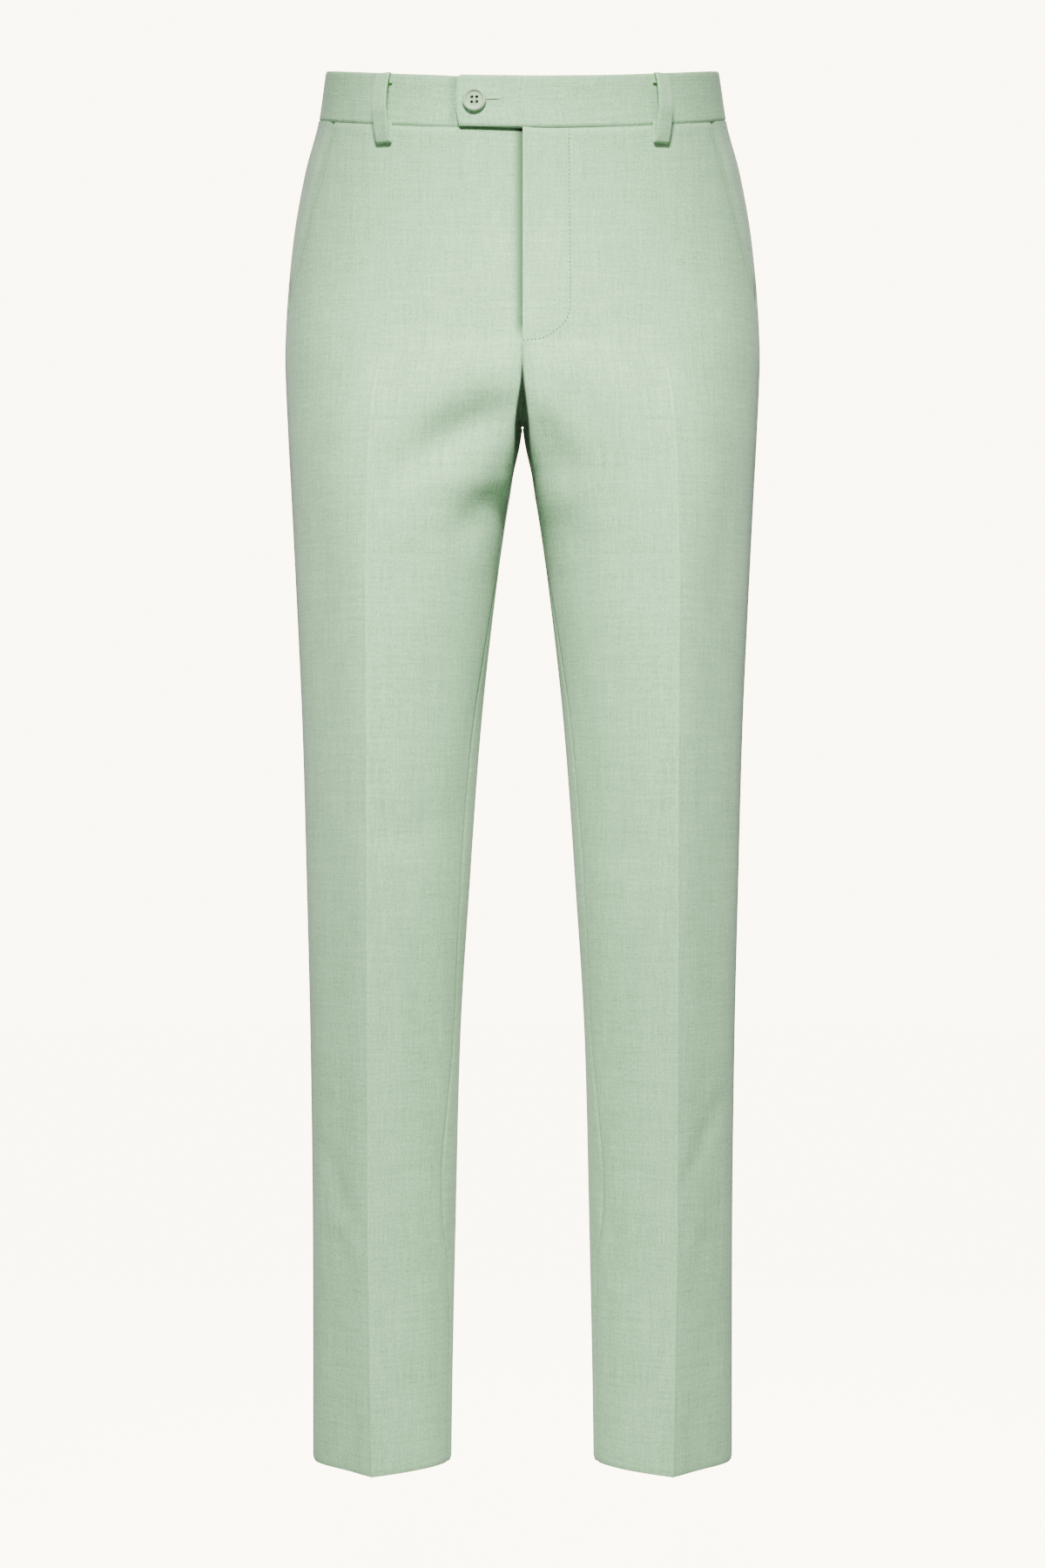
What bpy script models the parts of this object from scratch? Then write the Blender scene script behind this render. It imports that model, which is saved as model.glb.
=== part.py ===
"""Suit trousers, filled out as on a wearer and hollow inside.

Axes: +X is the wearer's left, -Y the front, +Z up. The origin is the centre of
the waist ring, halfway up the waistband at the sides. Sizes below are in
millimetres, and MM turns them into Blender's metres.

Each half of the garment is one tube of smooth sections. A section is four
curves that meet at the front crease, the side, the back crease and the inside.
A place on it is s: 0 at the centre front or inseam, 1 at the front crease,
2 at the side, 3 at the back crease and 4 at the centre back or inseam.
"""

import math

import bmesh
import bpy
import numpy as np
from mathutils import Matrix

MM = 0.001

# ---- driving sizes -------------------------------------------------------
CLOTH = 1.5  # wall of a panel
BAND_CLOTH = 2.5  # wall of the waistband, two layers and an interlining
SEAM_GAP = 0.3  # between pieces that are sewn together
PLY_GAP = 0.4  # between plies that lie on each other
COLUMN_DISTANCES = (0, 16, 33, 51, 68, 83, 96, 108, 122, 140, 162, 188)
LAST_COLUMN = 5.0  # no column of points lies nearer to a seam than this
HEM_DEPTH = 38.0  # turned-up allowance inside the hem
HEM_WALL = 2.4  # wall where the hem is doubled

BAND_TOP = 19.0  # level of the waistband's top edge at the sides
BAND_SEAM = -19.5  # level of the seam under the waistband
HEM = -1065.0
WAIST_TILT = 0.1925  # the waist slopes down to the front ...
WAIST_DIP = -0.00057  # ... and dips a little more at front and back
TILT_ENDS = -190.0  # below this level the sections are horizontal

FLY_BOTTOM = -205.0  # where the centre-front seam begins to curve under
SEAT_TURN = -150.0  # where the centre-back seam begins to curve under
CROTCH = -260.5
CROTCH_Y = 15.0

FLY_OVER = 0.9  # how far the upper front stands proud at the fly
FLY_UNDER = 1.0  # how far the lower front is set back there
FLY_UNDERLAP = 6.0  # the lower front runs on this far past the centre
FLY_OPEN = -180.0  # the underlap starts to close here ...
FLY_CLOSED = -192.0  # ... and is gone here
ZIP_SPAN = (7.0, 31.0)
SHIELD_SPAN = (-5.0, 42.0)
SHIELD_END = -178.0

TAB_END = 49.5  # reach of the button tab past the centre
TAB_BOW = 2.6  # how much its corners fall back
TAB_OVER = 1.8
TAB_UNDER = 1.2
BAND_UNDERLAP = 12.0

POCKET_TOP_X = 145.0  # pocket mouth, at the waist seam ...
POCKET_END_X = 184.0  # ... and where it meets the side seam
POCKET_END = -174.0
FACING_UNDERLAP = 14.0
FACING_GAP = 0.7  # behind the front, which is faceted where it rounds the hip
FACING_LIP = 1.5  # the facing stays this far back past the mouth ...
FACING_RISE = 12.0  # ... and over this width it rises to the side seam

LOOP_WIDTH = 12.5
LOOP_CLOTH = 1.5
BUTTON_RADIUS = 9.0
BUTTON_X = -35.3
BUTTON_HOLE = 1.1
BUTTON_HOLE_OFFSET = 1.85

# ---- sections ------------------------------------------------------------
# One row for each level, in mm and degrees. crease: the front crease's place,
# slope and break; seat: the same for the back crease. inside_x is the inseam side
# of the leg. It counts below the crotch only: the row above gives it its slope.
COLUMNS = (
    "level side_x side_y inside_x inside_y flat_front flat_back "
    "crease_x crease_y crease_slope crease_break "
    "seat_x seat_y seat_slope seat_break"
).split()
SECTIONS = (
    (19, 153.6, 0, 0, 15, -104, 106, 105.0, -75.9, 32, 0, 90, 86, 26.5, 0),
    (-20, 159.4, 1, 0, 15, -105, 111, 105.0, -79.0, 30, 0, 90, 92, 25.5, 0),
    (-61, 170.3, 3, 0, 15, -106, 118, 105.0, -83.5, 26, 0, 88, 101, 22, 0),
    (-115, 179.8, 7, 0, 15, -107, 126, 105.0, -87.5, 23, 0, 84, 115, 16, 0),
    (-170, 184.9, 10, 0, 15, -108, 128, 105.5, -91.0, 20, 0, 80, 126, 9, 0),
    (-205, 186.3, 12, 0, 15, -108, 121, 106.5, -94.0, 17, 1.5, 80, 128.5, 6, 0),
    (-238, 185.2, 12, -6.5, 15, -98, 107, 111.5, -97.0, 15, 3, 84, 126, 6, 0),
    (-260.5, 184.0, 11, 0, 15, -80, 92, 114.0, -98.5, 14, 5, 90, 121, 7, 2),
    (-272, 183.4, 10, 3.3, 14, -71, 84, 114.8, -98.6, 13.5, 5.5, 92, 118.5, 7.5, 2.5),
    (-306, 181.5, 9, 9.5, 12, -47, 62, 116.3, -98.0, 13, 7, 98, 112, 9, 4),
    (-388, 177.1, 5, 21.1, 8, -14, 32, 118.0, -93.0, 12.5, 10, 108, 100, 10, 7),
    (-497, 172.0, 2, 32.7, 4, 1, 12, 118.0, -84.0, 12, 13, 114, 87, 11, 10),
    (-606, 168.9, 0, 40.5, 2, 2, 2, 118.0, -76.0, 11, 16, 116, 77, 11, 13),
    (-742, 165.8, 1, 48.7, 1, 1, 1, 117.7, -71.0, 9, 20, 117, 72, 9, 16),
    (-879, 164.1, 1, 52.1, 0, 0, 0, 117.2, -69.5, 8, 25, 116.5, 69, 8, 20),
    (-1000, 163.8, 0, 54.6, 0, 0, 0, 115.4, -70.5, 7, 31, 115.4, 67, 7, 23),
    (-1065, 163.8, 0, 55.5, 0, 0, 0, 114.4, -71.0, 6, 36, 114.4, 66, 6, 26),
)
CENTRE_FRONT = ((19, -104), (-20, -105), (-61, -106), (-115, -107), (-205, -108))
CENTRE_BACK = ((19, 106), (-20, 111), (-61, 118), (-115, 126), (-150, 128))
# How far the cloth has turned into the groove at the centre seams, in degrees.
FRONT_TURN = (
    (-205, 0),
    (-219, 25),
    (-233, 60),
    (-246, 79),
    (-254, 84.5),
    (-260.5, 87.5),
    (-272, 89.4),
    (-306, 90),
)
BACK_TURN = (
    (-115, 0),
    (-150, 3),
    (-170, 13),
    (-205, 44),
    (-238, 74),
    (-254, 83),
    (-260.5, 87.3),
    (-272, 89.4),
    (-306, 90),
)
# The x at which the flat stretch beside the groove ends and the cloth rounds.
FRONT_BEND = (
    (-205, 0),
    (-219, 3),
    (-233, 4.5),
    (-246, 4.9),
    (-260.5, 5),
    (-272, 5.5),
    (-290, 7.4),
    (-306, 9.6),
)
BACK_BEND = (
    (-115, 0),
    (-150, 4),
    (-170, 7),
    (-205, 8),
    (-238, 6.4),
    (-254, 5.5),
    (-260.5, 5.3),
    (-272, 5.6),
    (-290, 7.4),
    (-306, 9.6),
)
# Where the side seam lies, as s, and where the inseam lies, as y.
SIDE_SEAM = ((19, 2.0), (-61, 1.95), (-174, 1.9), (-500, 1.88), (-1065, 1.88))
INSEAM = (
    (-260.5, 15),
    (-300, 0),
    (-340, -12),
    (-400, -24),
    (-606, -27),
    (-720, -22),
    (-835, -32),
    (-870, -30),
    (-930, -18),
    (-1065, -12),
)
# The largest folds: from one point to another on the front (side -1) or the
# back (side 1), half as wide as `reach`, sunk by `depth`.
FOLD_COLUMNS = "face from_x from_z to_x to_z reach depth".split()
FOLDS = (
    (-1, -10, -247, -82, -285, 16, 3.2),
    (-1, 12, -262, 34, -304, 13, 1.6),
    (1, -22, -238, -112, -272, 20, 3.6),
    (1, 24, -242, 106, -280, 19, 3.2),
    (1, -60, -588, -150, -600, 20, 1.8),
    (1, 66, -604, 156, -592, 20, 1.6),
)


def smooth_step(value, start, end):
    """0 at start, 1 at end, and level at both."""
    t = np.clip((np.asarray(value, float) - start) / (end - start), 0, 1)
    return t * t * (3 - 2 * t)


def through(points, at):
    """A smooth curve with no overshoot through (level, value) points, top to bottom."""
    x = -np.array([p[0] for p in points], float)
    y = np.array([p[1] for p in points], float)
    step = np.diff(x)
    rise = np.diff(y) / step
    slope = np.zeros_like(y)
    same = rise[1:] * rise[:-1] > 0
    weight = step[1:] + 2 * step[:-1], 2 * step[1:] + step[:-1]
    with np.errstate(divide="ignore", invalid="ignore"):
        mean = sum(weight) / (weight[0] / rise[:-1] + weight[1] / rise[1:])
    slope[1:-1] = np.where(same, mean, 0)
    slope[0], slope[-1] = rise[0], rise[-1]
    at = np.clip(-np.asarray(at, float), x[0], x[-1])
    i = np.clip(np.searchsorted(x, at, side="right") - 1, 0, len(step) - 1)
    t = (at - x[i]) / step[i]
    a = (1 + 2 * t) * (1 - t) ** 2
    b = t * (1 - t) ** 2
    c = t * t * (3 - 2 * t)
    d = t * t * (t - 1)
    return a * y[i] + b * step[i] * slope[i] + c * y[i + 1] + d * step[i] * slope[i + 1]


def column(name, level):
    k = COLUMNS.index(name)
    return through([(row[0], row[k]) for row in SECTIONS], level)


def under_curve(level, upper, turns_at):
    """y of a centre seam: straight down, then a quarter ellipse to the crotch."""
    drop = np.clip((turns_at - level) / (turns_at - CROTCH), 0, 1)
    y = CROTCH_Y + (upper[-1][1] - CROTCH_Y) * np.sqrt(1 - drop * drop)
    return np.where(level > turns_at, through(upper, level), y)


def arc(start, heading, end, arrival, t):
    """A smooth quarter-like arc between two points with given headings in degrees."""
    a, b = np.radians(heading), np.radians(arrival)
    turn = b - a
    across = end - start
    sine = np.sin(turn)
    from_start = (across[..., 0] * np.sin(b) - across[..., 1] * np.cos(b)) / sine
    from_end = (across[..., 1] * np.cos(a) - across[..., 0] * np.sin(a)) / sine
    share = 4 / 3 * np.tan(turn / 4) / np.tan(turn / 2)
    first = start + (share * from_start)[..., None] * np.stack([np.cos(a), np.sin(a)], -1)
    last = end - (share * from_end)[..., None] * np.stack([np.cos(b), np.sin(b)], -1)
    t = t[..., None]
    return (
        (1 - t) ** 3 * start
        + 3 * (1 - t) ** 2 * t * first
        + 3 * (1 - t) * t * t * last
        + t**3 * end
    )


def flat_end(start, bend_x, flat_y, sign):
    """The end of the flat stretch that leads from a centre seam or inseam into the arc."""
    way_x = np.maximum(bend_x - start[..., 0], 0)
    way_y = sign * np.maximum(sign * (flat_y - start[..., 1]), 0)
    way = np.stack([way_x, way_y], -1)
    return start + way, np.linalg.norm(way, axis=-1)


def section(s, level):
    """(x, y) at place s of the section at a level. s below 0 runs on round the other half."""
    s, level = np.broadcast_arrays(np.asarray(s, float), np.asarray(level, float))
    value = {name: column(name, level) for name in COLUMNS[1:]}
    leg = level < CROTCH
    inside_x = np.where(leg, value["inside_x"], 0)
    front_y = np.where(leg, value["inside_y"], under_curve(level, CENTRE_FRONT, FLY_BOTTOM))
    back_y = np.where(leg, value["inside_y"], under_curve(level, CENTRE_BACK, SEAT_TURN))
    front_turn = through(FRONT_TURN, level)
    back_turn = through(BACK_TURN, level)
    start = np.stack([inside_x, front_y], -1)
    crease = np.stack([value["crease_x"], value["crease_y"]], -1)
    side = np.stack([value["side_x"], value["side_y"]], -1)
    seat = np.stack([value["seat_x"], value["seat_y"]], -1)
    finish = np.stack([inside_x, back_y], -1)
    front_bend, back_bend = through(FRONT_BEND, level), through(BACK_BEND, level)
    front_flat, front_length = flat_end(start, front_bend, value["flat_front"], -1)
    back_flat, back_length = flat_end(finish, back_bend, value["flat_back"], 1)
    front_in = value["crease_slope"] - value["crease_break"]
    front_out = value["crease_slope"] + value["crease_break"]
    back_in = 180 - value["seat_slope"] - value["seat_break"]
    back_out = 180 - value["seat_slope"] + value["seat_break"]
    place = np.where(leg & (s > 4), s - 4, np.abs(s))
    which = np.clip(np.floor(place), 0, 3)
    t = place - which
    front_share = front_length / (front_length + np.linalg.norm(crease - front_flat, axis=-1))
    back_share = back_length / (back_length + np.linalg.norm(seat - back_flat, axis=-1))
    to_flat = np.maximum(t - front_share, 0) / (1 - front_share)
    from_flat = np.minimum(t / (1 - back_share), 1)
    on_front = start + (t / np.maximum(front_share, 1e-6))[..., None] * (front_flat - start)
    beyond = ((t - 1 + back_share) / np.maximum(back_share, 1e-6))[..., None]
    on_back = back_flat + beyond * (finish - back_flat)
    quarters = (
        np.where(
            (t < front_share)[..., None],
            on_front,
            arc(front_flat, -front_turn, crease, front_in, to_flat),
        ),
        arc(crease, front_out, side, np.full_like(t, 90.0), t),
        arc(side, np.full_like(t, 90.0), seat, back_in, t),
        np.where(
            (t > 1 - back_share)[..., None],
            on_back,
            arc(seat, back_out, back_flat, 180 + back_turn, from_flat),
        ),
    )
    point = np.choose(which.astype(int)[..., None], quarters)
    return np.where((s < 0)[..., None], point * [-1, 1], point)


def height(level, y):
    """The real height of a point of a section: near the waist the sections tilt."""
    share = smooth_step(level, TILT_ENDS, BAND_SEAM)
    return level + share * (WAIST_TILT * y + WAIST_DIP * y * y)


def base(s, level):
    xy = section(s, level)
    return np.concatenate([xy, height(level, xy[..., 1])[..., None]], -1)


def matched(s, level, other, here, tangent, speed):
    """The surface point at the other level that lies straight above or below this one.

    Where the section there ends short of it, the point itself is given."""
    place = s
    for _ in range(3):
        found = section(place, other)
        slip = np.sum((found - here) * tangent, -1)
        place = np.clip(place - slip / speed, np.where(level < CROTCH, -9, s.min()), 4.6)
    found = section(place, other)
    slip = np.sum((found - here) * tangent, -1)
    own = base(s, level)
    there = np.concatenate([found, height(other, found[..., 1])[..., None]], -1)
    return np.where((np.abs(slip) < 0.25)[..., None], there, own)


def normal(s, level):
    """The outward direction, the same for both pieces that meet at a seam."""
    ds, dl = 0.012, 1.2
    leg = level < CROTCH
    ahead = np.where(leg, s + ds, np.minimum(s + ds, 4.0))
    behind = np.where(leg & (s < ds), s + 4 - ds, s - ds)
    behind = np.where(~leg & (np.abs(s) < ds), s, behind)
    along = base(ahead, level) - base(behind, level)
    flat = along[..., :2]
    length = np.linalg.norm(flat, axis=-1)
    tangent = flat / length[..., None]
    speed = length / np.maximum(np.where(leg & (s < ds), 2 * ds, ahead - behind), 1e-6)
    here = section(s, level)
    top = np.clip(level + dl, HEM, BAND_TOP)
    bottom = np.clip(level - dl, HEM, BAND_TOP)
    above = matched(s, level, top, here, tangent, speed)
    below = matched(s, level, bottom, here, tangent, speed)
    down = below - above
    lost = np.linalg.norm(down, axis=-1) < 0.2
    down = np.where(lost[..., None], np.array([0, 0, -1.0]), down)
    out = np.cross(down, along)
    return out / np.linalg.norm(out, axis=-1, keepdims=True)


def fold_depth(point):
    """How far the folds sink the cloth at a point, in mm."""
    depth = np.zeros(point.shape[:-1])
    for values in FOLDS:
        fold = dict(zip(FOLD_COLUMNS, values))
        start = np.array([fold["from_x"], fold["from_z"]])
        run = np.array([fold["to_x"], fold["to_z"]]) - start
        here = point[..., [0, 2]] - start
        along = here @ run / (run @ run)
        across = np.abs(here[..., 0] * run[1] - here[..., 1] * run[0]) / np.linalg.norm(run)
        ends = smooth_step(along, -0.25, 0.3) * smooth_step(along, 1.3, 0.6)
        face = smooth_step(fold["face"] * point[..., 1], 8, 45)
        depth += fold["depth"] * np.exp(-((across / fold["reach"]) ** 2)) * ends * face
    return depth


def cloth(half, s, level, offset=0.0):
    """Points of the outer face, moved out by offset. half is 1 for the wearer's left."""
    s, level = np.broadcast_arrays(np.asarray(s, float), np.asarray(level, float))
    mirror = np.array([half, 1, 1])
    point = base(s, level) * mirror
    out = normal(s, level) * mirror
    moved = np.asarray(offset) - fold_depth(point)
    return point + moved[..., None] * out, out


def place_of_x(x, level, turn=2.0):
    """s on the front of the section where its x is the one asked for."""
    tries = np.linspace(0, turn, 401)
    found = np.interp(abs(x), section(tries, level)[..., 0], tries)
    return math.copysign(float(found), x)


def place_of_inseam(level):
    """s where the inseam lies, between the inside of the leg and the front crease."""
    tries = np.linspace(0, 1, 401)
    y = section(tries, level)[..., 1]
    return float(np.interp(-through(INSEAM, level), -y, tries))


def shift_along(s, level, distance):
    """s moved along the section by a distance in mm."""
    step = math.copysign(0.02, distance)
    reach = np.linalg.norm(section(s + step, level) - section(s, level), axis=-1)
    return s + distance * abs(step) / reach


# ---- meshes --------------------------------------------------------------
def material(name, colour, roughness=0.9, metallic=0.0):
    made = bpy.data.materials.get(name) or bpy.data.materials.new(name)
    made.use_nodes = True
    shader = made.node_tree.nodes["Principled BSDF"]
    shader.inputs["Base Color"].default_value = (*colour, 1)
    shader.inputs["Roughness"].default_value = roughness
    shader.inputs["Metallic"].default_value = metallic
    return made


SAGE = (0.46, 0.58, 0.45)
SAGE_FACING = (0.42, 0.54, 0.41)
BUTTON_GREEN = (0.40, 0.50, 0.38)


def make_object(name, points, faces, finish):
    mesh = bpy.data.meshes.new(name)
    mesh.from_pydata([tuple(p) for p in np.asarray(points) * MM], [], faces)
    mesh.materials.append(finish)
    made = bpy.data.objects.new(name, mesh)
    bpy.context.scene.collection.objects.link(made)
    work = bmesh.new()
    work.from_mesh(mesh)
    bmesh.ops.recalc_face_normals(work, faces=work.faces)
    work.to_mesh(mesh)
    work.free()
    mesh.shade_smooth()
    mesh.set_sharp_from_angle(angle=math.radians(38))
    return made


def joined_rows(keys_above, keys_below):
    """Faces between two rows, as (place above, place below) corners. Equal keys make quads."""
    i = j = 0
    faces = []
    while i < len(keys_above) - 1 or j < len(keys_below) - 1:
        next_above = keys_above[i + 1] if i < len(keys_above) - 1 else math.inf
        next_below = keys_below[j + 1] if j < len(keys_below) - 1 else math.inf
        if abs(next_above - next_below) < 1e-6:
            faces.append(((0, i), (0, i + 1), (1, j + 1), (1, j)))
            i += 1
            j += 1
        elif next_above < next_below:
            faces.append(((0, i), (0, i + 1), (1, j)))
            i += 1
        else:
            faces.append(((0, i), (1, j + 1), (1, j)))
            j += 1
    return faces


def wall(name, outer, inner, finish, keys=None):
    """A closed piece of cloth between two sets of rows of points, top to bottom.

    keys say which places of neighbouring rows lie below each other."""
    if keys is None:
        keys = [np.arange(len(row)) for row in outer]
    first = np.cumsum([0] + [len(row) for row in outer])
    count = int(first[-1])
    faces = []
    for r in range(len(outer) - 1):
        for corners in joined_rows(keys[r], keys[r + 1]):
            face = [int(first[r + down] + place) for down, place in corners]
            faces.append(tuple(face))
            faces.append(tuple(i + count for i in reversed(face)))
    rim = list(range(first[0], first[1]))
    rim += [first[r + 1] - 1 for r in range(1, len(outer))]
    rim += list(range(first[-1] - 2, first[-2] - 1, -1))
    rim += [first[r] for r in range(len(outer) - 2, 0, -1)]
    rim = [int(i) for i in rim]
    for a, b in zip(rim, rim[1:] + rim[:1]):
        faces.append((b, a, a + count, b + count))
    points = np.concatenate([np.concatenate(list(outer)), np.concatenate(list(inner))])
    return make_object(name, points, faces, finish)


def clear_centre(points, half, allowed):
    """Keeps a centre seam's points on their own side of the middle plane."""
    points = points.copy()
    points[..., 0] = np.where(
        allowed, points[..., 0], half * np.maximum(half * points[..., 0], SEAM_GAP / 2)
    )
    return points


# ---- levels of the rows --------------------------------------------------
def panel_levels():
    """Rows of a panel, close together round the crotch."""
    trim = SEAM_GAP / 2
    torso = [BAND_SEAM - trim, -38, -60, -84, -108, -132, -155, POCKET_END, -184, FLY_CLOSED]
    fork = [
        FLY_BOTTOM - (FLY_BOTTOM - CROTCH) * math.sin(math.radians(turn))
        for turn in (0, 15, 30, 44, 58, 71, 82, 90)
    ]
    leg = [-264, -270, -280, -294, -314, -342, -378, -424, -480, -545]
    leg += [-615, -690, -770, -850, -925, -985, HEM + HEM_DEPTH, -1048, HEM]
    return np.array(torso + fork + leg)


def thickness(level):
    return np.where(level <= HEM + HEM_DEPTH + 0.5, HEM_WALL, CLOTH)


def fly_lift(half, x, level):
    """How far a front stands proud or back beside the fly."""
    fade = smooth_step(level, FLY_BOTTOM - 5, FLY_CLOSED)
    if half > 0:
        return FLY_OVER * fade * smooth_step(x, 80, 20)
    return -FLY_UNDER * fade * smooth_step(-x, 30, 4)


def spread(start, end, level, from_end):
    """Places from one end of a stretch to the other, at the same distances from its
    crease on every row, and those distances. The crease is `end` if from_end."""
    tries = np.linspace(start, end, 241)
    points = section(tries, level)
    run = np.concatenate([[0], np.cumsum(np.linalg.norm(np.diff(points, axis=0), axis=1))])
    width = run[-1]
    marks = np.array([d for d in COLUMN_DISTANCES if d < width - LAST_COLUMN])
    marks = np.append(marks, width)
    if from_end:
        return np.interp(width - marks[::-1], run, tries), -marks[::-1]
    return np.interp(marks, run, tries), marks


def panel(half, name, rows, keys, levels, lapped=0.0):
    """Builds a panel from the places of its rows."""
    outer, inner = [], []
    for s, level in zip(rows, levels):
        lift = 0.0
        if s.min() < 1:
            lift = fly_lift(half, base(s, level)[..., 0] * half, level)
        points, out = cloth(half, s, level, lift)
        under = points - thickness(level) * out
        free = np.full(s.shape, level > lapped)
        outer.append(clear_centre(points, half, free))
        inner.append(clear_centre(under, half, free))
    return wall(name, outer, inner, material("sage_cloth", SAGE), keys)


def front_panel(half, name):
    levels = panel_levels()
    rows, keys = [], []
    for level in levels:
        if level < CROTCH + 0.1:
            start = shift_along(place_of_inseam(level), level, SEAM_GAP / 2)
        else:
            start = 0.0
            if half < 0 and level > FLY_CLOSED:
                lap = FLY_UNDERLAP * smooth_step(level, FLY_CLOSED, FLY_OPEN)
                start = place_of_x(-lap, level)
        if level > POCKET_END:
            end = place_of_x(mouth_x(level), level)
        else:
            end = shift_along(float(through(SIDE_SEAM, level)), level, -SEAM_GAP / 2)
        inside, inside_keys = spread(start, 1.0, level, True)
        outside = np.linspace(1, end, 10)[1:]
        rows.append(np.concatenate([inside, outside]))
        keys.append(np.concatenate([inside_keys, np.arange(1, 10)]))
    return panel(half, name, rows, keys, levels, FLY_CLOSED + 0.1 if half < 0 else math.inf)


def back_panel(half, name):
    levels = panel_levels()
    rows, keys = [], []
    for level in levels:
        start = shift_along(float(through(SIDE_SEAM, level)), level, SEAM_GAP / 2)
        end = 4.0
        if level < CROTCH + 0.1:
            end = 4 + shift_along(place_of_inseam(level), level, -SEAM_GAP / 2)
        inside, inside_keys = spread(3.0, end, level, False)
        outside = np.linspace(start, 3, 9)
        rows.append(np.concatenate([outside, inside[1:]]))
        keys.append(np.concatenate([np.arange(-8, 1), inside_keys[1:]]))
    return panel(half, name, rows, keys, levels, math.inf)


def mouth_x(level):
    """x of the pocket mouth, a straight cut from the waist seam to the side seam."""
    down = min(1.0, (level - BAND_SEAM) / (POCKET_END - BAND_SEAM))
    return POCKET_TOP_X + (POCKET_END_X - POCKET_TOP_X) * down


def pocket_facing(half, name):
    """Lies behind the front at the pocket mouth and rises to the side seam."""
    levels = panel_levels()
    levels = levels[levels >= FLY_CLOSED]
    behind = CLOTH + FACING_GAP
    rows, drops = [], []
    for level in levels:
        mouth = place_of_x(mouth_x(level), level)
        start = shift_along(mouth, level, -FACING_UNDERLAP)
        end = shift_along(float(through(SIDE_SEAM, level)), level, -SEAM_GAP / 2)
        lip = min(shift_along(mouth, level, FACING_LIP), end - 0.02)
        s = np.concatenate([np.linspace(start, lip, 4), np.linspace(lip, end, 6)[1:]])
        past = np.linalg.norm(section(s, level) - section(lip, level), axis=-1)
        past = np.where(s > lip, past, 0)
        open_here = smooth_step(level, POCKET_END + 8, POCKET_END + 34)
        rise = open_here * smooth_step(past, 0, FACING_RISE)
        rows.append(s)
        drops.append(-behind * (1 - rise))
    s = np.array(rows)
    level = np.broadcast_to(levels[:, None], s.shape)
    outer, out = cloth(half, s, level, np.array(drops))
    return wall(name, outer, outer - CLOTH * out, material("sage_facing", SAGE_FACING))


def fly_strip(name, span, top, bottom, depth, thick, finish):
    """A flat strip behind the fly, from one x to another."""
    levels = np.linspace(top, bottom, 7)
    rows = [
        [place_of_x(x, level) for x in np.linspace(span[0], span[1], 6)] for level in levels
    ]
    s = np.array(rows)
    level = np.broadcast_to(levels[:, None], s.shape)
    outer, out = cloth(1, s, level, -depth)
    return wall(name, outer, outer - thick * out, finish)


def band_lift(half, x, s):
    """How far a half of the waistband stands proud or back where the two overlap."""
    in_front = s < 1.5
    if half > 0:
        return in_front * TAB_OVER * smooth_step(x, 80, 16)
    return in_front * -TAB_UNDER * smooth_step(-x, 75, 40)


def waistband(half, name):
    trim = SEAM_GAP / 2
    levels = np.array([BAND_SEAM + trim, -10, 0, 10, BAND_TOP - 0.9, BAND_TOP])
    bevel = np.array([0, 0, 0, 0, 0, 0.9])  # the folded top edge is rounded
    middle = (BAND_TOP + BAND_SEAM) / 2
    places = np.concatenate([np.linspace(0, 1, 11), 1 + np.linspace(0, 1, 10)[1:]])
    rows = []
    for level in levels:
        if half > 0:
            fall = TAB_BOW * ((level - middle) / (BAND_TOP - middle)) ** 2
            start = place_of_x(fall - TAB_END, level)
        else:
            start = place_of_x(-BAND_UNDERLAP, level)
        front = start + (1 - start) * places[:11]
        side = 1 + (2 - 1) * (places[11:] - 1)
        back = 2 + 2 * np.linspace(0, 1, 18)[1:]
        rows.append(np.concatenate([front, side, back]))
    s = np.array(rows)
    level = np.broadcast_to(levels[:, None], s.shape)
    x = base(s, level)[..., 0] * half
    lift = band_lift(half, x, s)
    outer, out = cloth(half, s, level, lift - bevel[:, None])
    inner, _ = cloth(half, s, level, lift - BAND_CLOTH + bevel[:, None])
    at_back = s > 3.9
    allowed = ~at_back
    outer = clear_centre(outer, half, allowed)
    inner = clear_centre(inner, half, allowed)
    return wall(name, outer, inner, material("sage_cloth", SAGE))


# The path of a belt loop's middle line: distance out from the band, and height
# from the band's top edge. Its ends are turned in and lie on the band.
LOOP_PATH = (
    (1.1, -8.5),
    (1.1, -4.0),
    (1.9, -1.6),
    (3.4, -1.4),
    (5.0, -3.6),
    (7.0, -10.0),
    (8.6, -18.0),
    (9.3, -28.0),
    (9.3, -38.0),
    (8.8, -46.0),
    (7.6, -51.6),
    (5.4, -53.6),
    (3.2, -52.8),
    (1.9, -49.6),
    (1.3, -44.5),
    (1.1, -37.5),
)


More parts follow.
